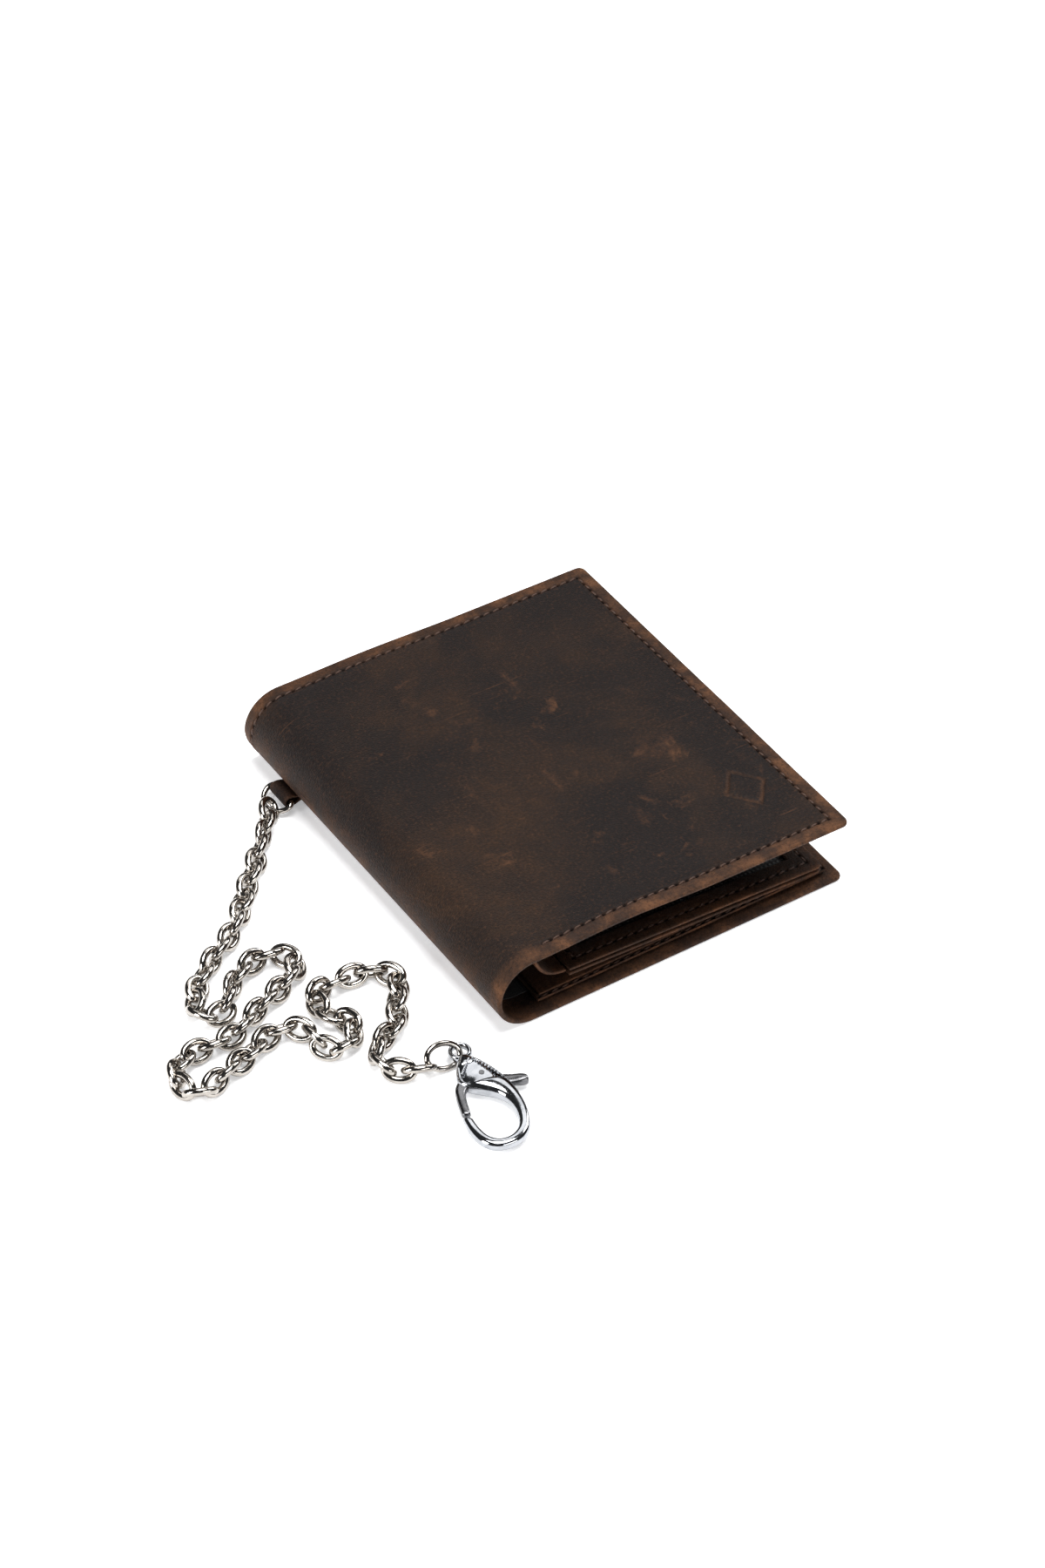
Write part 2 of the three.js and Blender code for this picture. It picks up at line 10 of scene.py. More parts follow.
import bmesh
import bpy
from mathutils import Matrix, Vector, noise
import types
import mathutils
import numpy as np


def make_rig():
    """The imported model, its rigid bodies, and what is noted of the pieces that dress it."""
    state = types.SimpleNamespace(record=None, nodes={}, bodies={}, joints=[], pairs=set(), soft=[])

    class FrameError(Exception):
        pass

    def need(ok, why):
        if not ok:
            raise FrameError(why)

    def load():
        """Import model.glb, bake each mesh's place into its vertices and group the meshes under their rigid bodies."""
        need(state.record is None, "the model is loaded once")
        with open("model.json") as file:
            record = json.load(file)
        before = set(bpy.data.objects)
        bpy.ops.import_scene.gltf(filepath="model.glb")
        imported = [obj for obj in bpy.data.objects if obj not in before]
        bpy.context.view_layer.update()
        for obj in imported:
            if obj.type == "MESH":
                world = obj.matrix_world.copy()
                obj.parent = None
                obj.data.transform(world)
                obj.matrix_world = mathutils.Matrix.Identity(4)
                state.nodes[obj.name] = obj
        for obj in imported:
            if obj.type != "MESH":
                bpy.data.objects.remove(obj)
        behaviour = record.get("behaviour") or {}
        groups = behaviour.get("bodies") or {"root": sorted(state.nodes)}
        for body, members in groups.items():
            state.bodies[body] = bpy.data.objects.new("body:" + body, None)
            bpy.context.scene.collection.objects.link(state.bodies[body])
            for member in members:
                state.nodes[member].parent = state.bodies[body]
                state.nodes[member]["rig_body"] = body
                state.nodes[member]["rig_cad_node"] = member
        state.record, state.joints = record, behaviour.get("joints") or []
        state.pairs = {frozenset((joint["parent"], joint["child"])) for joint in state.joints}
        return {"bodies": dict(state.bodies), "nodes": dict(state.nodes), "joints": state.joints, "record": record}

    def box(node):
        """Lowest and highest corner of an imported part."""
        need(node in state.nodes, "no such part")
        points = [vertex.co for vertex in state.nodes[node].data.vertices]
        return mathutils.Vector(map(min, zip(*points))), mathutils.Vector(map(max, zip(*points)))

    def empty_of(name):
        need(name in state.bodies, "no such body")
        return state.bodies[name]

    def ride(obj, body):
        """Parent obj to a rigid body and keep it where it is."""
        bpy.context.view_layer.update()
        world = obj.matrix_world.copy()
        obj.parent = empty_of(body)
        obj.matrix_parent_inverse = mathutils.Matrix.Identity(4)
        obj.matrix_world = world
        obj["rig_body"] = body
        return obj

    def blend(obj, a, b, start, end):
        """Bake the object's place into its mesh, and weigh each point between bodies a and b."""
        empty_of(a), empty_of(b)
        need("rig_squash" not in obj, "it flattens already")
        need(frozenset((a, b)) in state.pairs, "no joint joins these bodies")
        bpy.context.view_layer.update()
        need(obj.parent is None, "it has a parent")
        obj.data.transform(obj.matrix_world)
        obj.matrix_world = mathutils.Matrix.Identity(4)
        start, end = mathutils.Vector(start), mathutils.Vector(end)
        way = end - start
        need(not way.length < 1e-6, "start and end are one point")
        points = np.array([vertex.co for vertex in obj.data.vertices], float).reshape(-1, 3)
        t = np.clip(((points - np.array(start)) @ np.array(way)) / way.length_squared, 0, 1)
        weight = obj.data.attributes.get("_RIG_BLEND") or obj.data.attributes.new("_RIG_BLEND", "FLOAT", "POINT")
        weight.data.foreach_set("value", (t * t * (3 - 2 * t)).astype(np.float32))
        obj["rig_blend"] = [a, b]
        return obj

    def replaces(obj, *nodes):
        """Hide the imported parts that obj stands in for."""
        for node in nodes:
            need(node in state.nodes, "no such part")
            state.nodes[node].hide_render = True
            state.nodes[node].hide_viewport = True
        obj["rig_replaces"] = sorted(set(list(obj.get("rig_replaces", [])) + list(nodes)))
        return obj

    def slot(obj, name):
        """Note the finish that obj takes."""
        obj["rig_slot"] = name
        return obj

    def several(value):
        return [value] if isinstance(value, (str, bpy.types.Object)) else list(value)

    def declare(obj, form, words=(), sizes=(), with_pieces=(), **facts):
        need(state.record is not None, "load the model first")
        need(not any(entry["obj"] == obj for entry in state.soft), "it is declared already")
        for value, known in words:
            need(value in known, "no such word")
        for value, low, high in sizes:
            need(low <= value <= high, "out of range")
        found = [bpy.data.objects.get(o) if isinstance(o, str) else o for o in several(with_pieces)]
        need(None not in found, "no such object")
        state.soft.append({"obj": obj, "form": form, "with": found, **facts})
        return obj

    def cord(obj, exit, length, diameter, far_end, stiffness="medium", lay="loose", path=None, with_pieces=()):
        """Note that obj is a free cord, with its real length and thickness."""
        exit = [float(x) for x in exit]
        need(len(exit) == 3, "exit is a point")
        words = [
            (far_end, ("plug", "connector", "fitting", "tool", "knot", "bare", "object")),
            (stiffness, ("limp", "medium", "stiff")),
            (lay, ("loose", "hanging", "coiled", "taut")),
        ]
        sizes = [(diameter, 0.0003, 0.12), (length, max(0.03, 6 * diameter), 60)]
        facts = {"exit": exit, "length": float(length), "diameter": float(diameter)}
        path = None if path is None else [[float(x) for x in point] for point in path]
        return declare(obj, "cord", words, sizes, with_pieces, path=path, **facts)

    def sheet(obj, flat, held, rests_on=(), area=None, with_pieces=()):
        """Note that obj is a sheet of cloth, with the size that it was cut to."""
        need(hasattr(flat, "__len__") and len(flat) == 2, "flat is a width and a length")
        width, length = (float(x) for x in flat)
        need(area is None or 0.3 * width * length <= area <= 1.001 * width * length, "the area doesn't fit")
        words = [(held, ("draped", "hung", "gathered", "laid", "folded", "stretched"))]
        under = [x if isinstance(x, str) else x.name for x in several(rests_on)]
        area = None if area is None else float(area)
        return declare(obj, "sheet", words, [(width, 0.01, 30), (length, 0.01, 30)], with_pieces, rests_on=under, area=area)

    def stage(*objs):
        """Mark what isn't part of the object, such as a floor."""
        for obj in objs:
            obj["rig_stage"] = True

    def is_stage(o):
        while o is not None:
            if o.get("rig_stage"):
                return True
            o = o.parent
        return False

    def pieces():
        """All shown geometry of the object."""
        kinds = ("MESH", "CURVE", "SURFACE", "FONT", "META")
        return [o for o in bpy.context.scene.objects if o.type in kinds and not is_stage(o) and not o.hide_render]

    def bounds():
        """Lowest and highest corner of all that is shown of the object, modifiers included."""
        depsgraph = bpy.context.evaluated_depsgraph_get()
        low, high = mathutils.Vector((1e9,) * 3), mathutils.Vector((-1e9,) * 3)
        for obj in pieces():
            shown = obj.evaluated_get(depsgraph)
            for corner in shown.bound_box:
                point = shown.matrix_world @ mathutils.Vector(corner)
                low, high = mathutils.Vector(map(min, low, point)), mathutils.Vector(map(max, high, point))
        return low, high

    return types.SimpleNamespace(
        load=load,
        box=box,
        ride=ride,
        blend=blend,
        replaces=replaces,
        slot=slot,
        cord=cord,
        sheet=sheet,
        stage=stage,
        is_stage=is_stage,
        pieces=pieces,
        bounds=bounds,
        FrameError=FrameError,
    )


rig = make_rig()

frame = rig.load()
cad_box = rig.bounds()
MM = 0.001
joints = {joint["name"]: joint for joint in frame["joints"]}
print("bodies:", ", ".join(frame["bodies"]))

# %% [markdown]
# ## The camera
# The wallet is seen from above its spine's near end with a long lens, so its edges stay nearly parallel.
# The direction is set by an azimuth and an elevation, and the camera stands back along it from a point on
# the floor near the wallet's middle.

# %% The camera
AZIMUTH = math.radians(-32.97)
ELEVATION = math.radians(41.63)
DISTANCE = 1.13493
AIM = Vector((0.00284, 0.01333, 0.0))
LENS = 102.2

away = Vector((math.sin(AZIMUTH) * math.cos(ELEVATION), -math.cos(AZIMUTH) * math.cos(ELEVATION),
               math.sin(ELEVATION)))
camera_data = bpy.data.cameras.new("camera")
camera_data.lens = LENS
camera = bpy.data.objects.new("camera", camera_data)
camera.location = AIM + away * DISTANCE
camera.rotation_euler = (math.pi / 2 - ELEVATION, 0, AZIMUTH)
bpy.context.scene.collection.objects.link(camera)
bpy.context.scene.camera = camera
print("camera at", [round(value, 3) for value in camera.location])

# %% [markdown]
# ## From a bmesh to a finished piece
# Every piece is built in a bmesh with its place in its vertices, so its object stays at the origin and its
# patterns don't slide. One helper turns a bmesh into an object, smooths the shading except across sharp
# edges, gives it its materials and says which of the record's finishes it takes.


# %% Finishing a piece
def piece_from(name, bm, materials, slot, crease=50):
    mesh = bpy.data.meshes.new(name)
    bm.normal_update()
    bm.to_mesh(mesh)
    bm.free()
    mesh.shade_smooth()
    mesh.set_sharp_from_angle(angle=math.radians(crease))
    for material in materials:
        mesh.materials.append(material)
    piece = bpy.data.objects.new(name, mesh)
    bpy.context.scene.collection.objects.link(piece)
    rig.slot(piece, slot)
    print(f"{name}: {len(mesh.polygons)} faces")
    return piece


def join_copy(target, source, matrix):
    """Adds a copy of one bmesh, moved by a matrix, to another."""
    mesh = bpy.data.meshes.new("copy")
    source.to_mesh(mesh)
    mesh.transform(matrix)
    target.from_mesh(mesh)
    bpy.data.meshes.remove(mesh)


print("piece helpers: piece_from, join_copy")

# %% [markdown]
# ## Building materials from nodes
# Materials are node trees. A few short helpers add a node with its settings, link it, and make a group's
# sockets, so that each finish below reads as a list of its effects.


# %% Node helpers
def add(tree, kind, settings=None, **inputs):
    node = tree.nodes.new("ShaderNode" + kind)
    for name, value in (settings or {}).items():
        setattr(node, name, value)
    for name, value in inputs.items():
        socket = node.inputs[int(name[1:])] if name[0] == "i" and name[1:].isdigit() else node.inputs[name]
        if isinstance(value, bpy.types.NodeSocket):
            tree.links.new(value, socket)
        else:
            socket.default_value = value
    return node


def start_group(name, inputs, outputs):
    tree = bpy.data.node_groups.new(name, "ShaderNodeTree")
    for label, kind, default in inputs:
        socket = tree.interface.new_socket(label, in_out="INPUT", socket_type="NodeSocket" + kind)
        if default is not None:
            socket.default_value = default
    for label, kind in outputs:
        tree.interface.new_socket(label, in_out="OUTPUT", socket_type="NodeSocket" + kind)
    return tree, tree.nodes.new("NodeGroupInput").outputs, tree.nodes.new("NodeGroupOutput").inputs


def use_group(tree, group, **inputs):
    node = tree.nodes.new("ShaderNodeGroup")
    node.node_tree = group
    for name, value in inputs.items():
        socket = node.inputs[name.replace("_", " ")]
        if isinstance(value, bpy.types.NodeSocket):
            tree.links.new(value, socket)
        else:
            socket.default_value = value
    return node


def math_node(tree, operation, first, second=0.0, third=0.0, clamp=False):
    settings = {"operation": operation, "use_clamp": clamp}
    return add(tree, "Math", settings, i0=first, i1=second, i2=third).outputs[0]


def times(tree, first, second):
    return math_node(tree, "MULTIPLY", first, second)


def mix_colour(tree, factor, first, second, blend="MIX"):
    node = add(tree, "Mix", {"data_type": "RGBA", "blend_type": blend}, i0=factor, i6=first, i7=second)
    return node.outputs[2]


def noise_value(tree, vector, scale, detail=4.0, roughness=0.55, distortion=0.0):
    return add(tree, "TexNoise", None, Vector=vector, Scale=scale, Detail=detail, Roughness=roughness,
               Distortion=distortion).outputs["Fac"]


def ramp(tree, value, low, high):
    """0 below low, 1 above high, smooth between."""
    settings = {"interpolation_type": "SMOOTHSTEP"}
    return add(tree, "MapRange", settings, i0=value, i1=low, i2=high, i3=0.0, i4=1.0).outputs[0]


def new_material(name):
    material = bpy.data.materials.new(name)
    material.use_nodes = True
    tree = material.node_tree
    tree.nodes.clear()
    shader = tree.nodes.new("ShaderNodeBsdfPrincipled")
    output = tree.nodes.new("ShaderNodeOutputMaterial")
    tree.links.new(shader.outputs[0], output.inputs[0])
    return material, tree, shader


def add_bump(tree, shader, height, distance, strength=1.0):
    bump = add(tree, "Bump", None, Height=height, Distance=distance, Strength=strength)
    tree.links.new(bump.outputs[0], shader.inputs["Normal"])


print("node helpers: add, groups, math, colour, noise, ramp, bump")

# %% [markdown]
# ## The look of pull-up leather
# Oiled leather darkens where it is left alone and goes light where it is bent, rubbed or scratched. One
# group makes that: smoky clouds, warm worn patches, a fine pebbled grain, thin scratches and pale rubbed edges,
# and it paints the needle holes near black as painted shade. The rub and the painted hole shade come in as
# attributes that the sheets below store.

# %% Leather group
# The hole colour is painted shade: it darkens the needle holes near black, as the shade inside them.
PORE_COLOUR, HOLE_SHADE_COLOUR = (0.004, 0.003, 0.0028, 1), (0.0022, 0.0015, 0.0013, 1)
leather_group, given, made = start_group(
    "pull_up_leather",
    [("Vector", "Vector", None), ("Rub", "Float", 0.0), ("Pit", "Float", 0.0),
     ("Cloud Scale", "Float", 22.0), ("Wear", "Float", 1.0), ("Dark", "Color", (0.012, 0.0085, 0.0075, 1)),
     ("Brown", "Color", (0.034, 0.0175, 0.0105, 1)), ("Sienna", "Color", (0.105, 0.043, 0.0195, 1))],
    [("Color", "Color"), ("Roughness", "Float"), ("Height", "Float")],
)
tree, place = leather_group, given["Vector"]
clouds = noise_value(tree, place, given["Cloud Scale"], 5.0, 0.58, 0.4)
mottle = noise_value(tree, place, 160.0, 5.0, 0.65)
fleck = noise_value(tree, place, 1300.0, 3.0, 0.7)
moved = add(tree, "VectorMath", {"operation": "ADD"}, i0=place, i1=(0.36, 0.11, 0.05)).outputs[0]
worn_clouds = noise_value(tree, moved, 84.0, 5.0, 0.66, 0.8)
tone = mix_colour(tree, ramp(tree, clouds, 0.44, 0.66), given["Dark"], given["Brown"])
worn = times(tree, ramp(tree, worn_clouds, 0.58, 0.74), given["Wear"])
worn = times(tree, worn, ramp(tree, mottle, 0.30, 0.72))
tone = mix_colour(tree, times(tree, worn, 0.62), tone, given["Sienna"])

# Three sets of thin scratches cross at angles, each a noise drawn out along one direction.
scratches = None
SCRATCH_SETS = ((0.5, 0.0), (-0.9, 0.7), (1.35, 1.9))
for turn, shift in SCRATCH_SETS:
    drawn = add(tree, "Mapping", None, Vector=place, Location=(shift, shift, 0),
                Rotation=(0, 0, turn), Scale=(28.0, 1500.0, 28.0)).outputs[0]
    line = ramp(tree, noise_value(tree, drawn, 1.0, 2.0, 0.5, 0.15), 0.665, 0.72)
    broken = ramp(tree, noise_value(tree, place, 55.0 + 20 * shift, 2.0), 0.50, 0.66)
    line = times(tree, line, broken)
    scratches = line if scratches is None else math_node(tree, "MAXIMUM", scratches, line)
tone = mix_colour(tree, times(tree, scratches, 0.38), tone, given["Sienna"])

# Rubbed edges are broken up by the mottling, so that the band has no clean border.
patchy = ramp(tree, noise_value(tree, place, 75.0, 4.0, 0.6, 0.5), 0.30, 0.62)
rubbed = times(tree, ramp(tree, mottle, 0.30, 0.66), patchy)
rubbed = times(tree, math_node(tree, "MULTIPLY_ADD", rubbed, 0.72, 0.28),
                   given["Rub"])
tone = mix_colour(tree, times(tree, rubbed, 0.95), tone, given["Sienna"])
tone = mix_colour(tree, times(tree, ramp(tree, fleck, 0.5, 0.8), 0.38),
                  tone, given["Sienna"])
tone = mix_colour(tree, times(tree, ramp(tree, fleck, 0.55, 0.25), 0.6),
                  tone, PORE_COLOUR)
tone = mix_colour(tree, times(tree, ramp(tree, mottle, 0.62, 0.36), 0.4),
                  tone, given["Dark"])
# Painted shade: the needle holes are mixed towards near black.
tone = mix_colour(tree, given["Pit"], tone, HOLE_SHADE_COLOUR)
tree.links.new(tone, made["Color"])

# %% Leather group: grain and shine
pebbles = add(tree, "TexVoronoi", {"feature": "DISTANCE_TO_EDGE"}, Vector=place, Scale=1500.0,
              Randomness=1.0).outputs["Distance"]
grain = times(tree, ramp(tree, pebbles, 0.0, 0.22), 0.5)
grain = math_node(tree, "ADD", grain, times(tree, fleck, 0.6))
grain = math_node(tree, "ADD", grain, times(tree, mottle, 1.2))
grain = math_node(tree, "SUBTRACT", grain, times(tree, scratches, 0.35))
tree.links.new(grain, made["Height"])
shine = math_node(tree, "MULTIPLY_ADD", mottle, 0.22, 0.47)
shine = math_node(tree, "ADD", shine, times(tree, rubbed, 0.08), clamp=True)
tree.links.new(shine, made["Roughness"])
print("leather group:", len(leather_group.nodes), "nodes")


# %% Leather materials
def leather_material(name, wear, cloud_scale, dark, brown, sienna, bump=0.00014):
    material, tree, shader = new_material(name)
    flat = add(tree, "UVMap", {"uv_map": "flat"}).outputs[0]
    rub_value = add(tree, "Attribute", {"attribute_name": "rub"}).outputs["Fac"]
    # The pit attribute carries the painted shade of the needle holes.
    hole_shade_value = add(tree, "Attribute", {"attribute_name": "pit"}).outputs["Fac"]
    look = use_group(tree, leather_group, Vector=flat, Rub=rub_value, Pit=hole_shade_value, Cloud_Scale=cloud_scale,
                     Wear=wear, Dark=dark, Brown=brown, Sienna=sienna)
    tree.links.new(look.outputs["Color"], shader.inputs["Base Color"])
    tree.links.new(look.outputs["Roughness"], shader.inputs["Roughness"])
    shader.inputs["Specular IOR Level"].default_value = 0.11
    add_bump(tree, shader, look.outputs["Height"], bump)
    return material


outer_leather = leather_material("outer_leather", 1.0, 22.0, (0.0100, 0.0072, 0.0066, 1),
                                 (0.027, 0.0145, 0.0087, 1), (0.125, 0.056, 0.027, 1))
inner_leather = leather_material("inner_leather", 0.8, 30.0, (0.016, 0.0105, 0.008, 1),
                                 (0.042, 0.021, 0.012, 1), (0.12, 0.050, 0.023, 1))
print("leather materials: outer and inner")

# %% [markdown]
# ## Thread, cloth and mesh
# The thread is waxed and brown, twisted from plies that show as fine slanted ridges. The lining is a plain
# black weave and the window a black net, whose holes are rows of small dots.


# %% Thread, lining and window mesh
def thread_material():
    material, tree, shader = new_material("waxed_thread")
    where = add(tree, "TexCoord").outputs["Object"]
    twist = add(tree, "TexWave", {"wave_type": "BANDS", "bands_direction": "DIAGONAL"}, Vector=where,
                Scale=900.0, Distortion=1.5).outputs["Fac"]
    fuzz = noise_value(tree, where, 2500.0, 3.0)
    colour = mix_colour(tree, times(tree, twist, fuzz), (0.028, 0.012, 0.0065, 1),
                        (0.12, 0.05, 0.024, 1))
    tree.links.new(colour, shader.inputs["Base Color"])
    rough = math_node(tree, "MULTIPLY_ADD", fuzz, 0.3, 0.45)
    tree.links.new(rough, shader.inputs["Roughness"])
    add_bump(tree, shader, twist, 0.00006)
    return material


def weave_material(name, scale, dark, light, bump):
    material, tree, shader = new_material(name)
    flat = add(tree, "UVMap", {"uv_map": "flat"}).outputs[0]
    over = add(tree, "TexWave", {"bands_direction": "X", "wave_profile": "SIN"}, Vector=flat,
               Scale=scale).outputs["Fac"]
    under = add(tree, "TexWave", {"bands_direction": "Y", "wave_profile": "SIN"}, Vector=flat,
                Scale=scale).outputs["Fac"]
    weave = times(tree, over, under)
    wear = noise_value(tree, flat, 90.0, 4.0)
    colour = mix_colour(tree, times(tree, weave, wear), dark, light)
    tree.links.new(colour, shader.inputs["Base Color"])
    rough = math_node(tree, "MULTIPLY_ADD", wear, 0.3, 0.55)
    tree.links.new(rough, shader.inputs["Roughness"])
    add_bump(tree, shader, weave, bump)
    return material


waxed_thread = thread_material()
lining_cloth = weave_material("lining_cloth", 420.0, (0.003, 0.003, 0.003, 1), (0.016, 0.015, 0.014, 1),
                              0.00008)
window_mesh = weave_material("window_mesh", 260.0, (0.002, 0.002, 0.0022, 1), (0.10, 0.11, 0.11, 1),
                             0.00015)
print("cloth materials: thread, lining, mesh")

# %% [markdown]
# ## Plated metal
# The chain is bright nickel with a warm cast and the clasp a cooler chrome over a cast body. Both share a
# group that fogs the polish a little, draws fine wear marks and keeps the metal's colour from being flat.

# %% Metal group and materials
metal_group, given, made = start_group(
    "plated_metal",
    [("Vector", "Vector", None), ("Bright", "Color", (0.8, 0.78, 0.75, 1)),
     ("Dull", "Color", (0.5, 0.47, 0.44, 1)), ("Polish", "Float", 0.1)],
    [("Color", "Color"), ("Roughness", "Float"), ("Height", "Float")],
)
tree, place = metal_group, given["Vector"]
fog = noise_value(tree, place, 320.0, 4.0, 0.6)
specks = noise_value(tree, place, 2600.0, 2.0, 0.5)
marks = add(tree, "Mapping", None, Vector=place, Rotation=(0.4, 0.2, 0.7),
            Scale=(300, 5200, 900)).outputs[0]
marks = ramp(tree, noise_value(tree, marks, 1.0, 2.0), 0.62, 0.70)
tree.links.new(mix_colour(tree, ramp(tree, fog, 0.35, 0.75), given["Bright"], given["Dull"]),
                      made["Color"])
haze = times(tree, ramp(tree, fog, 0.4, 0.8), 0.10)
haze = math_node(tree, "ADD", haze, times(tree, marks, 0.10))
tree.links.new(math_node(tree, "ADD", haze, given["Polish"]), made["Roughness"])
tree.links.new(math_node(tree, "ADD", fog, times(tree, specks, 0.15)),
                      made["Height"])


def metal_material(name, bright, dull, polish, bump=0.00003):
    material, tree, shader = new_material(name)
    where = add(tree, "TexCoord").outputs["Object"]
    look = use_group(tree, metal_group, Vector=where, Bright=bright, Dull=dull, Polish=polish)
    tree.links.new(look.outputs["Color"], shader.inputs["Base Color"])
    tree.links.new(look.outputs["Roughness"], shader.inputs["Roughness"])
    shader.inputs["Metallic"].default_value = 1.0
    add_bump(tree, shader, look.outputs["Height"], bump)
    return material


nickel_plate = metal_material("nickel_plate", (0.44, 0.41, 0.375, 1), (0.30, 0.275, 0.25, 1), 0.10)
clasp_chrome = metal_material("clasp_chrome", (0.42, 0.43, 0.45, 1), (0.30, 0.31, 0.33, 1), 0.06)
spring_steel = metal_material("spring_steel", (0.15, 0.15, 0.155, 1), (0.09, 0.09, 0.095, 1), 0.22)
print("metal materials: nickel, chrome, steel")

# %% [markdown]
# ## The chain
# A cable chain is made of equal oval links, each turned a quarter from the last. Laid on a table they lean
# at about 45 degrees to either side. One link is a ring whose halves are pulled apart, so its wire stays
# round, and copies of it follow the route at an even pitch. The route's points are listed, and are measured
# from the middle of the D-ring's bar.

# %% The chain's route
BAR = Vector(joints["d_ring_swing"]["pos_m"])
LINK_LENGTH, LINK_WIDTH, LINK_WIRE = 9.0 * MM, 6.6 * MM, 1.85 * MM
LINK_PITCH = 4.7 * MM
chain_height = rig.box("chain")[1].z / 2
ROUTE = [
    (-7.0, -4.3), (-12.3, -10.9), (-19.7, -19.1), (-27.3, -27.1), (-34.1, -34.9), (-41.1, -40.1),
    (-48.3, -44.7), (-54.3, -50.3), (-56.9, -56.5), (-52.7, -59.7), (-48.1, -55.7), (-43.3, -51.3),
    (-36.7, -48.5), (-30.5, -49.1), (-28.9, -54.5), (-34.3, -58.9), (-40.7, -61.9), (-47.7, -65.1),
    (-55.3, -67.9), (-63.3, -67.5), (-69.9, -69.3), (-72.9, -75.3), (-69.9, -80.3), (-63.3, -78.5),
    (-56.3, -75.9), (-49.1, -73.3), (-42.3, -72.3), (-38.5, -77.3), (-37.7, -83.9), (-31.5, -84.9),
    (-28.3, -79.3), (-31.3, -72.9), (-30.5, -66.7), (-23.1, -65.9), (-15.7, -67.3), (-10.9, -71.9),
    (-14.9, -78.9), (-19.7, -85.7), (-28.1, -91.1), (-28.3, -98.5), (-22.7, -101.5),
]


def smooth_route(points, steps=24):
    """A Catmull-Rom curve through the points, finely stepped."""
    points = [Vector((x, y, 0)) * MM for x, y in points]
    padded = [points[0] * 2 - points[1]] + points + [points[-1] * 2 - points[-2]]
    line = []
    for before, start, end, after in zip(padded, padded[1:], padded[2:], padded[3:]):
        for step in range(steps):
            t = step / steps
            line.append(0.5 * (2 * start + (end - before) * t
                               + (2 * before - 5 * start + 4 * end - after) * t ** 2
                               + (3 * start - before - 3 * end + after) * t ** 3))
    line.append(points[-1])
    return line


seat = Vector((BAR.x, BAR.y, chain_height))
route = [point + seat for point in smooth_route(ROUTE)]
distances = [0.0]
for start, end in zip(route, route[1:]):
    distances.append(distances[-1] + (end - start).length)
route_length = distances[-1]
print(f"chain route {route_length * 1000:.0f} mm")


def point_at(distance):
    """A place along the route, carried straight on past its ends."""
    if distance <= 0.0 or distance >= route_length:
        end, before, past = (0, 1, distance) if distance <= 0.0 else (-1, -2, route_length - distance)
        return route[end] + (route[before] - route[end]).normalized() * past
    index = next(i for i, value in enumerate(distances[1:]) if value >= distance - 1e-9)
    share = (distance - distances[index]) / (distances[index + 1] - distances[index])
    return route[index].lerp(route[index + 1], share)


# %% The links
def ring_of_wire(length, width, wire, segments=30, sides=10):
    """An oval ring of round wire in the XY plane, its long axis along X."""
    bm = bmesh.new()
    bend = (width - wire) / 2
    turn = Matrix.Translation((0, bend, 0)) @ Matrix.Rotation(math.pi / 2, 4, "Y")
    loop = bmesh.ops.create_circle(bm, segments=sides, radius=wire / 2, matrix=turn)["verts"]
    edges = list({edge for vert in loop for edge in vert.link_edges})
    bmesh.ops.spin(bm, geom=loop + edges, cent=(0, 0, 0), axis=(0, 0, 1), angle=2 * math.pi,
                   steps=segments, use_merge=True)
    bmesh.ops.rotate(bm, verts=bm.verts, matrix=Matrix.Rotation(math.pi / segments, 3, "Z"))
    stretch = (length - width) / 2
    for vert in bm.verts:
        vert.co.x += stretch * vert.co.xy.normalized().x
    bmesh.ops.recalc_face_normals(bm, faces=bm.faces)
    return bm


def frame_at(centre, along, roll):
    """A matrix whose X runs along a direction, turned about it by roll."""
    across = Vector((0, 0, 1)).cross(along).normalized()
    up = along.cross(across)
    basis = Matrix((along, across, up)).transposed().to_4x4()
    return Matrix.Translation(centre) @ basis @ Matrix.Rotation(roll, 4, "X")


link = ring_of_wire(LINK_LENGTH, LINK_WIDTH, LINK_WIRE)
links = bmesh.new()
first_middle = -1.4 * MM
count = round((route_length - first_middle) / LINK_PITCH) + 1
pitch = (route_length - first_middle) / (count - 1)
for index in range(count):
    middle = first_middle + index * pitch
    along = (point_at(middle + LINK_LENGTH / 3) - point_at(middle - LINK_LENGTH / 3)).normalized()
    sway = 0.22 * math.sin(index * 2.4) + 0.14 * math.sin(index * 5.1)
    roll = (1 if index % 2 else -1) * math.radians(45) + sway
    reach = LINK_WIDTH / 2 * abs(math.sin(roll)) + LINK_WIRE / 2 * (1 - abs(math.sin(roll)))
    centre = point_at(middle)
    centre.z = reach + 0.05 * MM
    join_copy(links, link, frame_at(centre, along, roll))
link.free()
chain = piece_from("chain_links", links, [nickel_plate], "nickel_chain", crease=60)
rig.replaces(chain, "chain")
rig.ride(chain, "back")
print(f"{count} links, pitch {pitch * 1000:.2f} mm")

# %% [markdown]
# ## Leather is cut flat, sewn and then rolled
# The real outer leather is one flat piece, so it is modelled that way round: a sheet is cut in the wallet's
# unrolled plane, given its thickness and its turned edges there, and then every point is rolled round the
# fold. The unrolled distance starts at the back cover's free edge, runs round the spine and ends at the
# front cover's free edge. The flat place also becomes the UV map, so the pattern follows the leather.

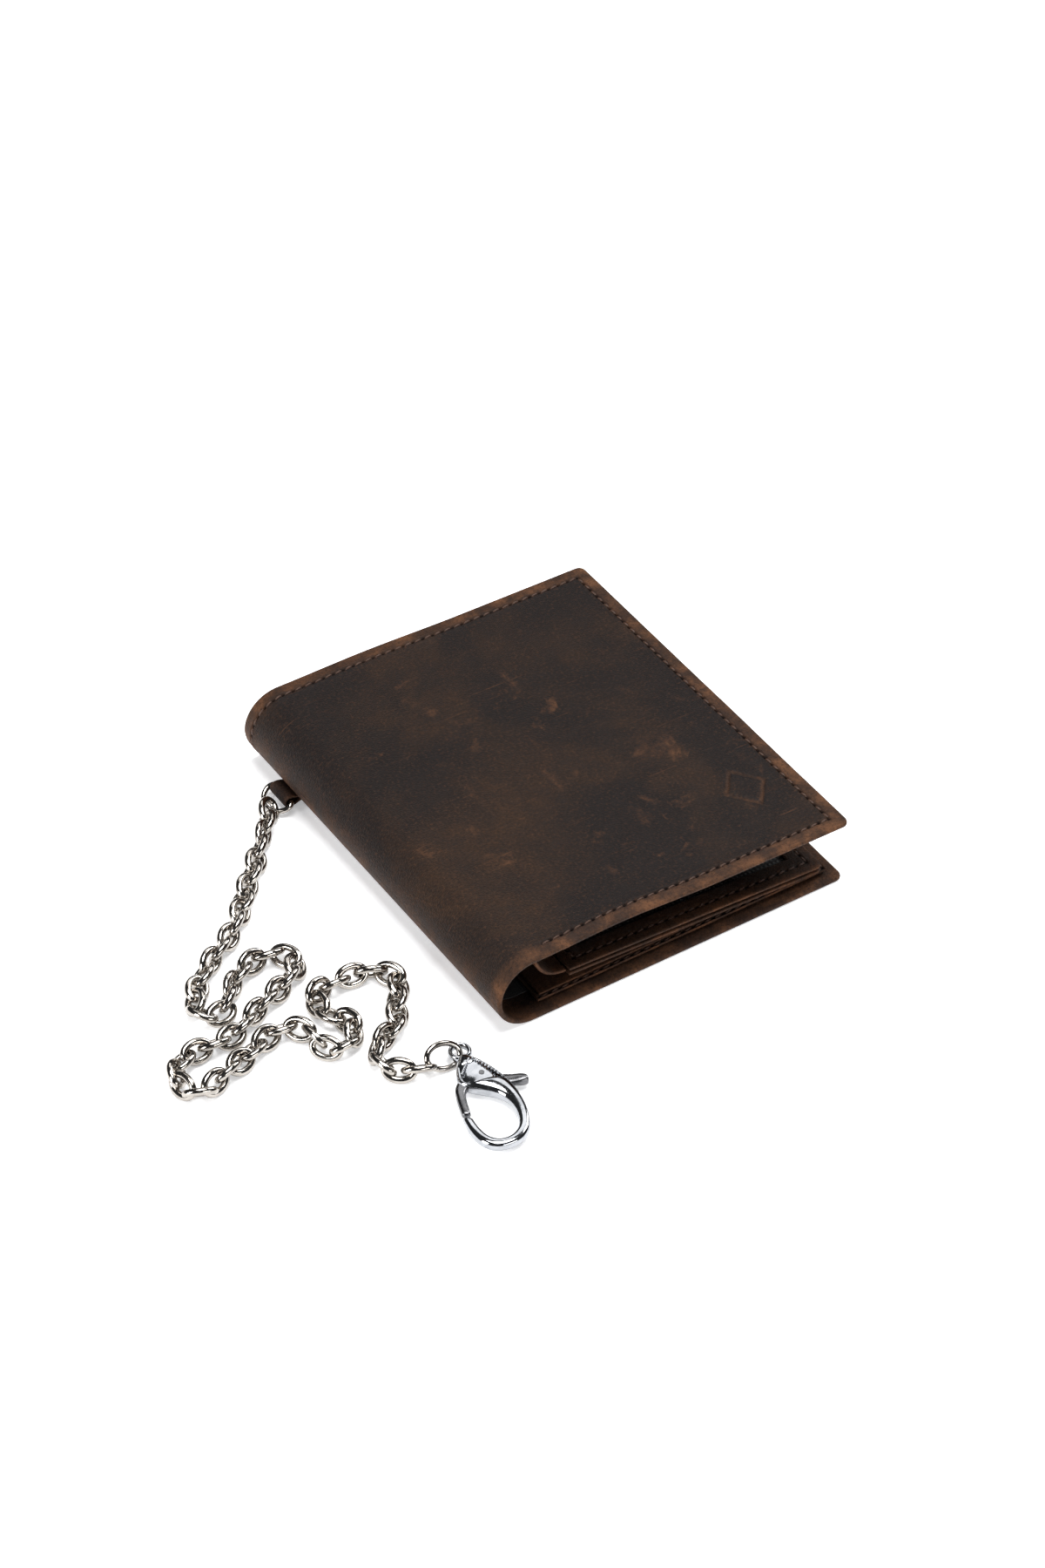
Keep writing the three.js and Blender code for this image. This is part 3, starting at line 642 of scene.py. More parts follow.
# %% The unrolled plane
fold = Vector(joints["cover_fold"]["pos_m"])
fold_radius = fold.z / 2
back_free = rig.box("back_cover")[1].x
front_low, front_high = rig.box("front_cover")
half_length = front_high.y
leather = 1.3 * MM
droop = math.radians(0.8)
back_run = back_free - fold.x
front_run = (front_high.x - fold.x) / math.cos(droop)
arc = math.pi * fold_radius
unrolled = back_run + arc + front_run
HINGE_TURNS = (67.5, 105.0, 142.5, 180.0)
SEAM_TURNS = (86.25, 123.75, 161.25)
seams = [back_run + math.radians(turn) * fold_radius for turn in SEAM_TURNS]
PUFF, PUFF_AT, PUFF_REACH = 1.1 * MM, 26 * MM, 17 * MM


def puff(run, across):
    """The front cover rises a little where it rides over the leaf's strip, more at the open end."""
    open_end = 0.45 + 0.55 * max(0.0, -across / half_length)
    rise = math.exp(-((run - PUFF_AT) / PUFF_REACH) ** 2) - math.exp(-(PUFF_AT / PUFF_REACH) ** 2)
    return PUFF * open_end * max(0.0, rise)


def roll(along, across, depth):
    """The row-frame place of a point of the unrolled plane, at a depth below the outer face."""
    if along <= back_run:
        return Vector((back_free - along, across, depth))
    if along <= back_run + arc:
        turn = (along - back_run) / fold_radius
        reach = fold_radius - depth
        return Vector((fold.x - reach * math.sin(turn), across, fold_radius - reach * math.cos(turn)))
    run = along - back_run - arc
    lift = puff(run, across)
    return Vector((fold.x + run * math.cos(droop) - depth * math.sin(droop), across,
                   fold.z - run * math.sin(droop) - depth * math.cos(droop) + lift))


def lines_between(start, end, cell):
    count = max(1, round((end - start) / cell))
    return [start + (end - start) * index / count for index in range(count)]


def grid_lines(stops, cell):
    """Stops with even cells of about one size between each two of them."""
    lines = []
    for start, end in zip(stops, stops[1:]):
        lines += lines_between(start, end, cell)
    return lines + [stops[-1]]


print(f"unrolled leather {unrolled * 1000:.1f} x {2 * half_length * 1000:.0f} mm")

# %% [markdown]
# ## Sewing
# A row of sewing is a line of stitches 3 mm long. Between two needle holes the thread pulls the leather down
# a little, each hole is a deep pit, and the leather swells beside the thread. The dent is a formula of the
# distance along and across the row, so any sheet with a row near its edge can use it.

# %% Rows of sewing
STITCH = 3.0 * MM
SEAM_INSET = 3.8 * MM
BAND = (2.6 * MM, 5.0 * MM)
HOLE_LENGTH, HOLE_WIDTH, HOLE_DEPTH = 0.50 * MM, 0.30 * MM, 0.62 * MM
CHANNEL_DEPTH, SHOULDER = 0.20 * MM, 0.16 * MM
SLANT = math.radians(16)
ROW_REACH, ROW_END = 1.3 * MM, 1.2 * MM
CHANNEL_WIDTH, SWELL_AT, SWELL_WIDTH = 0.42 * MM, 0.72 * MM, 0.30 * MM
STAMP_LINE, STAMP_DEPTH, STAMP_MARGIN = 0.55 * MM, 0.32 * MM, 2 * MM
STAMP_PLACE, STAMP_HALF = (78.7 * MM, -35.4 * MM), (5.6 * MM, 7.0 * MM)


class Row:
    """A straight row of stitches in a sheet's flat plane, from one point to another."""

    def __init__(self, start, end):
        self.start, self.end = Vector(start), Vector(end)
        self.length = (self.end - self.start).length
        self.along = (self.end - self.start) / self.length
        self.side = Vector((-self.along.y, self.along.x))
        self.count = round(self.length / STITCH)
        self.pitch = self.length / self.count

    def local(self, point):
        offset = point - self.start
        return offset.dot(self.along), offset.dot(self.side)

    def relief(self, point):
        """(height, painted hole shade) of the leather at a point near the row."""
        s, across = self.local(point)
        if abs(across) > ROW_REACH or s < -ROW_END or s > self.length + ROW_END:
            return 0.0, 0.0
        nearest = min(max(round(s / self.pitch), 0), self.count)
        ds = s - nearest * self.pitch
        turned = ds * math.cos(SLANT) + across * math.sin(SLANT)
        across_turned = across * math.cos(SLANT) - ds * math.sin(SLANT)
        hole = math.exp(-(turned / HOLE_LENGTH) ** 2 - (across_turned / HOLE_WIDTH) ** 2)
        inside = 1.0 if 0 <= s <= self.length else 0.0
        channel = math.exp(-(across / CHANNEL_WIDTH) ** 2) * inside
        swell = math.exp(-((abs(across) - SWELL_AT) / SWELL_WIDTH) ** 2) * inside
        middle = 0.5 - 0.5 * math.cos(2 * math.pi * ds / self.pitch)
        height = SHOULDER * swell * (0.4 + 0.6 * middle) - CHANNEL_DEPTH * channel - HOLE_DEPTH * hole
        return height, hole


def relief_at(point, rows):
    """The strongest relief of several rows at one point."""
    best = (0.0, 0.0)
    for row in rows:
        height, dark = row.relief(point)
        if abs(height) > abs(best[0]):
            best = (height, dark)
    return best


class Stamp:
    """A plain lozenge pressed into the leather, read in the same way as a row."""

    def __init__(self, middle, half_width, half_length):
        self.middle, self.half_width, self.half_length = Vector(middle), half_width, half_length

    def line(self, point):
        """1 on the lozenge's outline, 0 away from it."""
        offset = point - self.middle
        share = abs(offset.x) / self.half_width + abs(offset.y) / self.half_length - 1
        away = share * self.half_width * self.half_length / math.hypot(self.half_width, self.half_length)
        return math.exp(-(away / STAMP_LINE) ** 4)

    def relief(self, point):
        return -STAMP_DEPTH * self.line(point), 0.0

    def surrounds(self, point):
        offset = point.xy - self.middle
        return (abs(offset.x) < self.half_width + STAMP_MARGIN
                and abs(offset.y) < self.half_length + STAMP_MARGIN)


stamp = Stamp((back_run + arc + STAMP_PLACE[0], STAMP_PLACE[1]), *STAMP_HALF)
near, far = SEAM_INSET, unrolled - SEAM_INSET
side = half_length - SEAM_INSET
row_gap = 4.4 * MM
outer_rows = [
    Row((near, side), (far, side)),
    Row((near, -side), (back_run - row_gap, -side)),
    Row((back_run + arc + row_gap, -side), (far, -side)),
    Row((near, -side), (near, side)),
    Row((far, -side), (far, side)),
]
print("stitches in the outer rows:", sum(row.count for row in outer_rows))

# %% [markdown]
# ## Cutting a sheet
# A sheet starts as a grid whose lines are moved to where detail is needed. Its free corners are rounded, it
# gets its thickness, its free edges are rounded over as turned leather is, and only the band that carries
# the sewing is divided finely. A shape function then takes every point from the flat to its place.


# %% Cutting, dividing and placing a sheet
def cut_sheet(us, vs, thickness, corners=(), corner_radius=2 * MM, closed_ends=(True, True), edge=0.42,
              window=None):
    """A flat sheet with its outer face at z 0. us and vs are its grid lines."""
    bm = bmesh.new()
    bmesh.ops.create_grid(bm, x_segments=len(us) - 1, y_segments=len(vs) - 1, size=0.5)
    for vert in bm.verts:
        vert.co.x = us[round((vert.co.x + 0.5) * (len(us) - 1))]
        vert.co.y = vs[round((vert.co.y + 0.5) * (len(vs) - 1))]
    chosen = [vert for vert in bm.verts
              if any((vert.co.xy - Vector(corner)).length < 1e-6 for corner in corners)]
    if window:
        x0, x1, y0, y1 = window
        opened = [f for f in bm.faces if x0 < f.calc_center_median().x < x1
                  and y0 < f.calc_center_median().y < y1]
        bmesh.ops.delete(bm, geom=opened, context="FACES")
    if chosen:
        bmesh.ops.bevel(bm, geom=chosen, affect="VERTICES", offset=corner_radius, offset_type="OFFSET",
                        segments=5, profile=0.5, material=-1)
    bmesh.ops.solidify(bm, geom=bm.faces[:], thickness=thickness)
    top = max(vert.co.z for vert in bm.verts)
    bmesh.ops.translate(bm, verts=bm.verts, vec=(0, 0, -top))
    bmesh.ops.recalc_face_normals(bm, faces=bm.faces)
    bm.normal_update()

    def at_seam(e):
        return any(not closed and all(abs(v.co.x - end) < 1e-7 for v in e.verts)
                   for end, closed in zip((us[0], us[-1]), closed_ends))

    rim = [e for e in bm.edges if len(e.link_faces) == 2 and not at_seam(e)
           and abs(e.link_faces[0].normal.z - e.link_faces[1].normal.z) > 0.5
           and min(abs(f.normal.z) for f in e.link_faces) < 0.5]
    bmesh.ops.bevel(bm, geom=rim, affect="EDGES", offset=thickness * edge, offset_type="OFFSET", segments=3,
                    profile=0.5, material=-1, clamp_overlap=True)
    return bm


def divide_band(bm, inside, cuts=9):
    """Divides the outer face finely where the sewing runs."""
    bm.normal_update()
    band = [f for f in bm.faces if f.normal.z > 0.9 and inside(f.calc_center_median())]
    edges = list({e for f in band for e in f.edges})
    bmesh.ops.subdivide_edges(bm, edges=edges, cuts=cuts, use_grid_fill=True)


def place_sheet(bm, shape, rows=(), rub=lambda point: 0.0, wave=0.0, shift=(0.0, 0.0), relief_scale=1.0):
    """Stores the flat place as UV, the rub attribute and the pit attribute, whose painted shade darkens the needle
    holes, then moves each point to its place.
    """
    uv = bm.loops.layers.uv.new("flat")
    rub_layer = bm.verts.layers.float.new("rub")
    hole_shade_layer = bm.verts.layers.float.new("pit")
    for face in bm.faces:
        for corner in face.loops:
            flat = corner.vert.co
            corner[uv].uv = (flat.x + shift[0] + 0.3 * flat.z, flat.y + shift[1] + 0.3 * flat.z)
    for vert in bm.verts:
        flat = vert.co.copy()
        height, dark = relief_at(flat.xy, rows) if flat.z > -0.1 * MM else (0.0, 0.0)
        ripple = wave * noise.noise(Vector((flat.x, flat.y, 0.0)) * 45) if wave else 0.0
        vert[rub_layer] = min(1.0, max(0.0, rub(flat)))
        # The pit attribute is painted shade for the needle holes.
        vert[hole_shade_layer] = min(1.0, 1.3 * dark)
        vert.co = shape(flat.x, flat.y, -flat.z - height * relief_scale - ripple)
    bmesh.ops.recalc_face_normals(bm, faces=bm.faces)


print("sheet helpers: cut_sheet, divide_band, place_sheet")


# %% Stitches
BEAD_SIZE, BEAD_BOW = (2.1 * MM, 0.56 * MM, 0.5 * MM), 0.5 * MM


def stitch_bead():
    """One visible length of thread: a stretched, slightly flattened bead."""
    bm = bmesh.new()
    bmesh.ops.create_icosphere(bm, subdivisions=2, radius=0.5)
    for vert in bm.verts:
        bow = vert.co.x
        vert.co = Vector([value * size for value, size in zip(vert.co, BEAD_SIZE)])
        vert.co.z -= BEAD_BOW * bow * bow
    return bm


def sew(rows, shape, low=-1e9, high=1e9, sink=0.06 * MM):
    """The thread of those stitches whose middle lies between two unrolled distances."""
    bead = stitch_bead()
    thread = bmesh.new()
    for row in rows:
        turn = math.atan2(row.along.y, row.along.x) + SLANT * 0.55
        for index in range(row.count):
            middle = row.start + row.along * row.pitch * (index + 0.5)
            if low <= middle.x < high:
                place = Matrix.Translation((middle.x, middle.y, -sink)) @ Matrix.Rotation(turn, 4, "Z")
                join_copy(thread, bead, place)
    bead.free()
    for vert in thread.verts:
        vert.co = shape(vert.co.x, vert.co.y, -vert.co.z)
    bmesh.ops.recalc_face_normals(thread, faces=thread.faces)
    return thread


print(f"stitch thread {BEAD_SIZE[1] * 1000:.2f} mm wide")

# %% [markdown]
# ## The outer leather in four blended lengths
# Opening the wallet unrolls the spine at four hinges. A blended piece can bend between two bodies only, so
# the leather is made in four lengths that meet in the middle of each slat, where neither blend moves. The
# sewing runs along both covers and round the closed end of the spine, but not across its open end.

# %% Outer leather and its thread
LENGTH_NAMES = ("back", "spine_low", "spine_high", "front")
HINGE_BODIES = [("back", "spine_1"), ("spine_1", "spine_2"), ("spine_2", "spine_3"), ("spine_3", "front")]
blend_reach = math.radians(18.75) * fold_radius
lengths = list(zip([0.0] + seams, seams + [unrolled]))


def blend_length(piece, index):
    """Bends a piece at one of the four hinges, from the slat's middle before it to the one after it."""
    hinge = back_run + math.radians(HINGE_TURNS[index]) * fold_radius
    before, after = HINGE_BODIES[index]
    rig.blend(piece, before, after, roll(hinge - blend_reach, 0, 0), roll(hinge + blend_reach, 0, 0))


def leather_rub(flat):
    """How rubbed the outer leather is: outside the sewing, on the spine, and at the corners."""
    to_side = half_length - abs(flat.y)
    to_free = min(flat.x, unrolled - flat.x)
    edge = 1.0 - min(1.0, max(0.0, (min(to_side, to_free) - 2.2 * MM) / (2.4 * MM)))
    turn = (flat.x - back_run) / arc
    spine = math.exp(-((turn - 0.3) / 0.2) ** 2)
    return max(edge, spine, 0.55 * stamp.line(flat.xy))


def in_outer_band(centre):
    to_side = half_length - abs(centre.y)
    to_free = min(centre.x, unrolled - centre.x)
    on_side = BAND[0] < to_side < BAND[1] and to_free > BAND[0]
    in_gap = centre.y < 0 and back_run - row_gap < centre.x < back_run + arc + row_gap
    on_free = BAND[0] < to_free < BAND[1] and to_side > BAND[0]
    return (on_side and not in_gap) or on_free


CELL, ARC_CELL = 2.4 * MM, 0.6 * MM
sides = [-half_length, -half_length + BAND[0], -half_length + BAND[1]]
vs = grid_lines(sides + [-value for value in reversed(sides)], CELL)
for index, (start, end) in enumerate(lengths):
    if index == 0:
        us = grid_lines([start, BAND[0], BAND[1], back_run], CELL)[:-1]
        us += grid_lines([back_run, end], ARC_CELL)
        free, corners = (True, False), [(start, -half_length), (start, half_length)]
    elif index == 3:
        top = back_run + arc
        us = grid_lines([start, top], ARC_CELL)[:-1]
        us += grid_lines([top, end - BAND[1], end - BAND[0], end], CELL)
        free, corners = (False, True), [(end, -half_length), (end, half_length)]
    else:
        us, free, corners = grid_lines([start, end], ARC_CELL), (False, False), []
    sheet = cut_sheet(us, vs, leather, corners, closed_ends=free)
    divide_band(sheet, in_outer_band)
    if index == 3:
        divide_band(sheet, stamp.surrounds)
    place_sheet(sheet, roll, outer_rows + [stamp], leather_rub, wave=0.0 if index == 0 else 0.10 * MM)
    name = LENGTH_NAMES[index]
    piece = piece_from(f"outer_leather_{name}", sheet, [outer_leather], "outer_leather")
    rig.replaces(piece, ("back_cover", "spine_panel_1", "spine_panel_2", "spine_panel_3")[index])
    if index == 3:
        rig.replaces(piece, "front_cover")
    blend_length(piece, index)
    thread = piece_from(f"outer_thread_{name}", sew(outer_rows, roll, start, end), [waxed_thread],
                        "outer_leather")
    blend_length(thread, index)

# %% [markdown]
# ## The lining
# Black cloth backs the leather of both covers and of the spine. It is set back from the ends, where the
# real leather is turned in and its own back shows.

# %% Lining
lining_setback = 8 * MM
lining_depth, lining_thick = 1.55 * MM, 0.3 * MM


def roll_lining(along, across, depth):
    return roll(along, across, lining_depth + depth)


lining_stops = [5 * MM] + seams + [unrolled - 5 * MM]
lining_vs = grid_lines([-half_length + lining_setback, half_length - lining_setback], 6 * MM)
linings, lining_runs = [], []
for index in range(4):
    start, end = lining_stops[index], lining_stops[index + 1]
    stops = {0: [start, back_run, end], 3: [start, back_run + arc, end]}.get(index, [start, end])
    cells = [ARC_CELL if back_run - 1e-6 <= a < back_run + arc - 1e-6 else 5 * MM for a in stops[:-1]]
    us = [u for a, b, cell in zip(stops, stops[1:], cells) for u in lines_between(a, b, cell)] + [end]
    sheet = cut_sheet(us, lining_vs, lining_thick, closed_ends=(index == 0, index == 3), edge=0.3)
    place_sheet(sheet, roll_lining)
    name = LENGTH_NAMES[index]
    piece = piece_from(f"lining_{name}", sheet, [lining_cloth], "lining_cloth")
    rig.replaces(piece, ("note_lining_back", "note_lining_spine_1", "note_lining_spine_2",
                        "note_lining_spine_3")[index])
    if index == 3:
        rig.replaces(piece, "note_lining_front")
    blend_length(piece, index)
    linings.append(piece)
    on_arc = min(end, back_run + arc) - max(start, back_run)
    lining_runs.append(end - start - on_arc * (lining_depth + lining_thick / 2) / fold_radius)
for cover, slat, name in ((0, 1, "back"), (3, 2, "front")):
    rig.sheet(linings[cover], flat=(lining_runs[cover], 2 * (half_length - lining_setback)), held="folded",
             rests_on=[f"outer_leather_{name}"], with_pieces=[linings[slat]])
print("lining runs:", [f"{run * 1000:.1f} mm" for run in lining_runs])

# %% [markdown]
# ## Panels and pockets
# Inside, thinner leather panels are sewn to the covers through the same rows, less than a millimetre from
# their own edges. Their places come from the plain solids. The front cover's panel and card pockets face
# down, so their sheets are placed by depth below the cover's outer face, and rise with it.


# %% Panels and pockets
PANEL_INSET = 0.8 * MM
PANEL_BAND = (0.4 * MM, 1.7 * MM)


def edge_rows(x0, x1, y0, y1, inset, left=False):
    rows = [Row((x0 + inset, y0 + inset), (x1 - inset, y0 + inset)),
            Row((x0 + inset, y1 - inset), (x1 - inset, y1 - inset)),
            Row((x1 - inset, y0 + inset), (x1 - inset, y1 - inset))]
    if left:
        rows.append(Row((x0 + inset, y0 + inset), (x0 + inset, y1 - inset)))
    return rows


def panel_piece(name, nodes, body, extent, thickness, shape, rows=(), band=PANEL_BAND, left=False,
                cell=3 * MM, rounded=True, window=None, wave=0.06 * MM, shift=(0.3, 0.2), cuts=5):
    """A sewn leather sheet over an extent (x0, x1, y0, y1) of its own flat plane, and its thread."""
    x0, x1, y0, y1 = extent
    x_stops = [x0, x1 - band[1], x1 - band[0], x1] if rows else [x0, x1]
    y_stops = [y0, y0 + band[0], y0 + band[1], y1 - band[1], y1 - band[0], y1] if rows else [y0, y1]
    if left:
        x_stops = [x0, x0 + band[0], x0 + band[1]] + x_stops[1:]
    if window:
        x_stops = sorted(set(x_stops + [window[0], window[1]]))
        y_stops = sorted(set(y_stops + [window[2], window[3]]))
    corners = [(x1, y0), (x1, y1)] if rounded else []
    sheet = cut_sheet(grid_lines(x_stops, cell), grid_lines(y_stops, cell), thickness, corners,
                      corner_radius=0.38 * MM if band[0] < 1 * MM else 1.7 * MM, window=window)
    if rows:
        def in_band(centre):
            to_y = min(centre.y - y0, y1 - centre.y)
            to_x = min(x1 - centre.x, centre.x - x0 if left else 1.0)
            inside = to_y > band[0] and to_x > band[0]
            return inside and (to_y < band[1] or to_x < band[1])
        divide_band(sheet, in_band, cuts)

    def rub(flat):
        edge = min(flat.y - y0, y1 - flat.y, x1 - flat.x)
        return 0.75 * math.exp(-max(0.0, edge) / (1.6 * MM)) + 0.12

    place_sheet(sheet, shape, rows, rub, wave=wave, shift=shift, relief_scale=0.7)
    piece = piece_from(name, sheet, [inner_leather], "inner_leather")
    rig.replaces(piece, *nodes)
    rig.ride(piece, body)
    if rows:
        thread = piece_from(name + "_thread", sew(rows, shape), [waxed_thread], "inner_leather")
        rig.ride(thread, body)
    return piece


low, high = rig.box("back_panel")
extent = (low.x, high.x, low.y, high.y)
panel_top = high.z
panel_piece("inner_panel_back", ["back_panel"], "back", extent, high.z - low.z,
            lambda x, y, depth: Vector((x, y, panel_top - depth)), edge_rows(*extent, PANEL_INSET),
            cell=2.4 * MM)
low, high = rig.box("back_slip_pocket")
pocket_top = high.z
panel_piece("slip_pocket", ["back_slip_pocket"], "back", (low.x, high.x, low.y, high.y), high.z - low.z,
            lambda x, y, depth: Vector((x, y, pocket_top - depth)), rounded=False, shift=(0.7, 0.1))


def under_front(face_depth):
    """Places a sheet under the front cover, its visible face down at a depth below the outer face."""
    start = back_run + arc - fold.x
    return lambda x, y, depth: roll(x + start, y, face_depth - depth)


low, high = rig.box("front_panel")
extent = (low.x, high.x, low.y, high.y)
panel_piece("inner_panel_front", ["front_panel"], "front", extent, 0.7 * MM, under_front(2.7 * MM),
            edge_rows(*extent, PANEL_INSET), shift=(0.1, 0.9), cell=2.4 * MM)
for number in (1, 2, 3):
    low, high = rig.box(f"card_pocket_{number}")
    extent = (low.x, high.x, low.y, high.y)
    pocket_rows = [Row((low.x + PANEL_INSET, low.y + 2 * MM), (high.x - 2 * MM, low.y + 2 * MM))]
    panel_piece(f"card_pocket_sheet_{number}", [f"card_pocket_{number}"], "front", extent, 0.6 * MM,
                under_front(3.5 * MM), pocket_rows, band=(1.4 * MM, 2.6 * MM), rounded=False,
                shift=(0.2 * number, 0.45))

# %% [markdown]
# ## The window leaf
# The leaf is a page: a leather backing, a black mesh window and a leather frame round it, sewn together
# near the outside. A strip of leather carries it, curving down from under the front cover to the leaf.

# %% Leaf
leaf_low, leaf_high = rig.box("id_backing")
LEAF_LEATHER, LEAF_BORDER = 0.8 * MM, 6.5 * MM
NET, LEAF_GAP = 0.3 * MM, 0.2 * MM
LEAF_STACK = LEAF_LEATHER * 2 + NET + LEAF_GAP * 2
leaf_drop = leaf_high.z - leaf_low.z - LEAF_LEATHER
leaf_length = math.hypot(leaf_high.x - leaf_low.x, leaf_drop)
leaf_slope = math.asin(leaf_drop / leaf_length)
leaf_left = leaf_low.x
leaf_lift = leaf_high.z - LEAF_LEATHER


def on_leaf(height):
    """Places a sheet on the sloping leaf, its outer face at a height above the leaf's underside."""
    def shape(x, y, depth):
        up = height - depth
        return Vector((leaf_left + x * math.cos(leaf_slope) + up * math.sin(leaf_slope), y,
                       leaf_lift - x * math.sin(leaf_slope) + up * math.cos(leaf_slope)))
    return shape


def under_leaf(x, y, depth):
    """The backing's visible face is its underside."""
    return on_leaf(0.0)(x, y, -depth)


y0, y1 = leaf_low.y, leaf_high.y
leaf_extent = (0.0, leaf_length, y0, y1)
leaf_band, leaf_inset = (1.8 * MM, 4.2 * MM), 3.0 * MM
leaf_rows = edge_rows(*leaf_extent, leaf_inset, left=True)
window = (LEAF_BORDER, leaf_length - LEAF_BORDER, y0 + LEAF_BORDER, y1 - LEAF_BORDER)
panel_piece("leaf_frame", ["id_frame"], "id_leaf", leaf_extent, LEAF_LEATHER, on_leaf(LEAF_STACK), leaf_rows,
            band=leaf_band, left=True, window=window, cell=2.4 * MM, shift=(0.5, 0.6), cuts=8)
panel_piece("leaf_backing", ["id_backing"], "id_leaf", leaf_extent, LEAF_LEATHER, under_leaf, leaf_rows,
            band=leaf_band, left=True, cell=2.4 * MM, shift=(0.9, 0.3), cuts=8)
mesh_margin = LEAF_BORDER - 3 * MM
net = cut_sheet(grid_lines([mesh_margin, leaf_length - mesh_margin], 3 * MM),
                grid_lines([y0 + mesh_margin, y1 - mesh_margin], 3 * MM), NET, edge=0.2)
place_sheet(net, on_leaf(LEAF_LEATHER + LEAF_GAP + NET), wave=0.05 * MM)
net_piece = piece_from("leaf_window", net, [window_mesh], "window_mesh")
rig.replaces(net_piece, "id_window")
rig.ride(net_piece, "id_leaf")
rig.sheet(net_piece, flat=(leaf_length - 2 * mesh_margin, y1 - y0 - 2 * mesh_margin), held="stretched",
         rests_on=["leaf_backing"])

# %% The strip that carries the leaf
hinge = Vector(joints["leaf_turn"]["pos_m"])
strip_low, strip_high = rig.box("leaf_strip")
STRIP = 0.9 * MM
strip_end = Vector((strip_high.x, 0, leaf_lift + LEAF_LEATHER + STRIP / 2))
strip_bend = Vector((hinge.x + 2.2 * MM, 0, strip_end.z + 0.1 * MM))
STRIP_STEPS = 40


def strip_centre(t):
    """The strip's middle line, from the hinge at t 0 to the leaf at t 1."""
    return (1 - t) ** 2 * hinge + 2 * t * (1 - t) * strip_bend + t * t * strip_end


def on_strip(x, y, depth):
    """Places a point of the strip: x runs from 0 at the hinge to 1 at the leaf."""
    t = min(max(x, 0.0), 1.0)
    centre = strip_centre(t)
    slope = (2 * (1 - t) * (strip_bend - hinge) + 2 * t * (strip_end - strip_bend)).normalized()
    out = Vector((-slope.z, 0, slope.x))
    return Vector((centre.x, y, centre.z)) + out * (STRIP / 2 - depth)


strip_points = [strip_centre(step / STRIP_STEPS) for step in range(STRIP_STEPS + 1)]
strip_run = sum((b - a).length for a, b in zip(strip_points, strip_points[1:]))
strip_ys = grid_lines([strip_low.y, strip_high.y], 3 * MM)
strip = cut_sheet(grid_lines([0.0, strip_run], 0.6 * MM), strip_ys, STRIP)
place_sheet(strip, lambda x, y, depth: on_strip(x / strip_run, y, depth), shift=(0.8, 0.8),
            rub=lambda flat: 0.8 * math.exp(-(flat.y - strip_low.y) / (1.5 * MM)) + 0.15)
strip_piece = piece_from("leaf_strip_leather", strip, [inner_leather], "inner_leather")
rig.replaces(strip_piece, "leaf_strip")
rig.ride(strip_piece, "id_leaf")

# %% [markdown]
# ## Bent wire and strap
# The D-ring and the strap that holds it are each swept. A loop of points starts as the section, and each
# length is either run straight on or turned round a centre, as it would be over a former. The end ring is an
# oval ring made in the same way as a link.


# %% Sweeping
def sweep(bm, verts, moves):
    """Carries a closed loop of verts through ('run', vector) and ('turn', centre, axis, angle, steps)."""
    edges = list({edge for vert in verts for edge in vert.link_edges})
    for kind, *values in moves:
        if kind == "run":
            made = bmesh.ops.extrude_edge_only(bm, edges=edges)["geom"]
            moved = [item for item in made if isinstance(item, bmesh.types.BMVert)]
            bmesh.ops.translate(bm, verts=moved, vec=values[0])
        else:
            centre, axis, angle, steps = values
            made = bmesh.ops.spin(bm, geom=verts + edges, cent=centre, axis=axis, angle=angle,
                                  steps=steps)["geom_last"]
        verts = [item for item in made if isinstance(item, bmesh.types.BMVert)]
        edges = [item for item in made if isinstance(item, bmesh.types.BMEdge)
                 and all(vert in verts for vert in item.verts)]


def finish_sweep(bm):
    bmesh.ops.remove_doubles(bm, verts=bm.verts, dist=0.02 * MM)
    bmesh.ops.holes_fill(bm, edges=bm.edges, sides=0)
    bmesh.ops.recalc_face_normals(bm, faces=bm.faces)


print("sweep helpers: sweep, finish_sweep")

# %% D-ring
RING_WIRE, RING_DEPTH, CORNER = 1.5 * MM, 5.3 * MM, 1.2 * MM
ring_low, ring_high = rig.box("d_ring")
ring_half = (ring_high.y - ring_low.y - RING_WIRE) / 2
side = ring_half - CORNER
d_ring = bmesh.new()
section = bmesh.ops.create_circle(d_ring, segments=12, radius=RING_WIRE / 2,
                                  matrix=Matrix.Rotation(math.pi / 2, 4, "X"))["verts"]
sweep(d_ring, section, [
    ("run", (0, side, 0)),
    ("turn", (-CORNER, side, 0), (0, 0, 1), math.pi / 2, 5),
    ("turn", (-CORNER, 0, 0), (0, 0, 1), math.pi, 20),
    ("turn", (-CORNER, -side, 0), (0, 0, 1), math.pi / 2, 5),
    ("run", (0, side, 0)),
])
finish_sweep(d_ring)
for vert in d_ring.verts:
    if vert.co.x < -CORNER:
        vert.co.x = -CORNER + (vert.co.x + CORNER) * (RING_DEPTH - CORNER) / ring_half
tilt = -math.asin((BAR.z - RING_WIRE / 2 - 0.1 * MM) / RING_DEPTH)
bmesh.ops.transform(d_ring, matrix=Matrix.Translation(BAR) @ Matrix.Rotation(tilt, 4, "Y"),
                    verts=d_ring.verts)
d_piece = piece_from("d_ring_wire", d_ring, [nickel_plate], "nickel_chain", crease=60)
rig.replaces(d_piece, "d_ring")
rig.ride(d_piece, "d_ring")

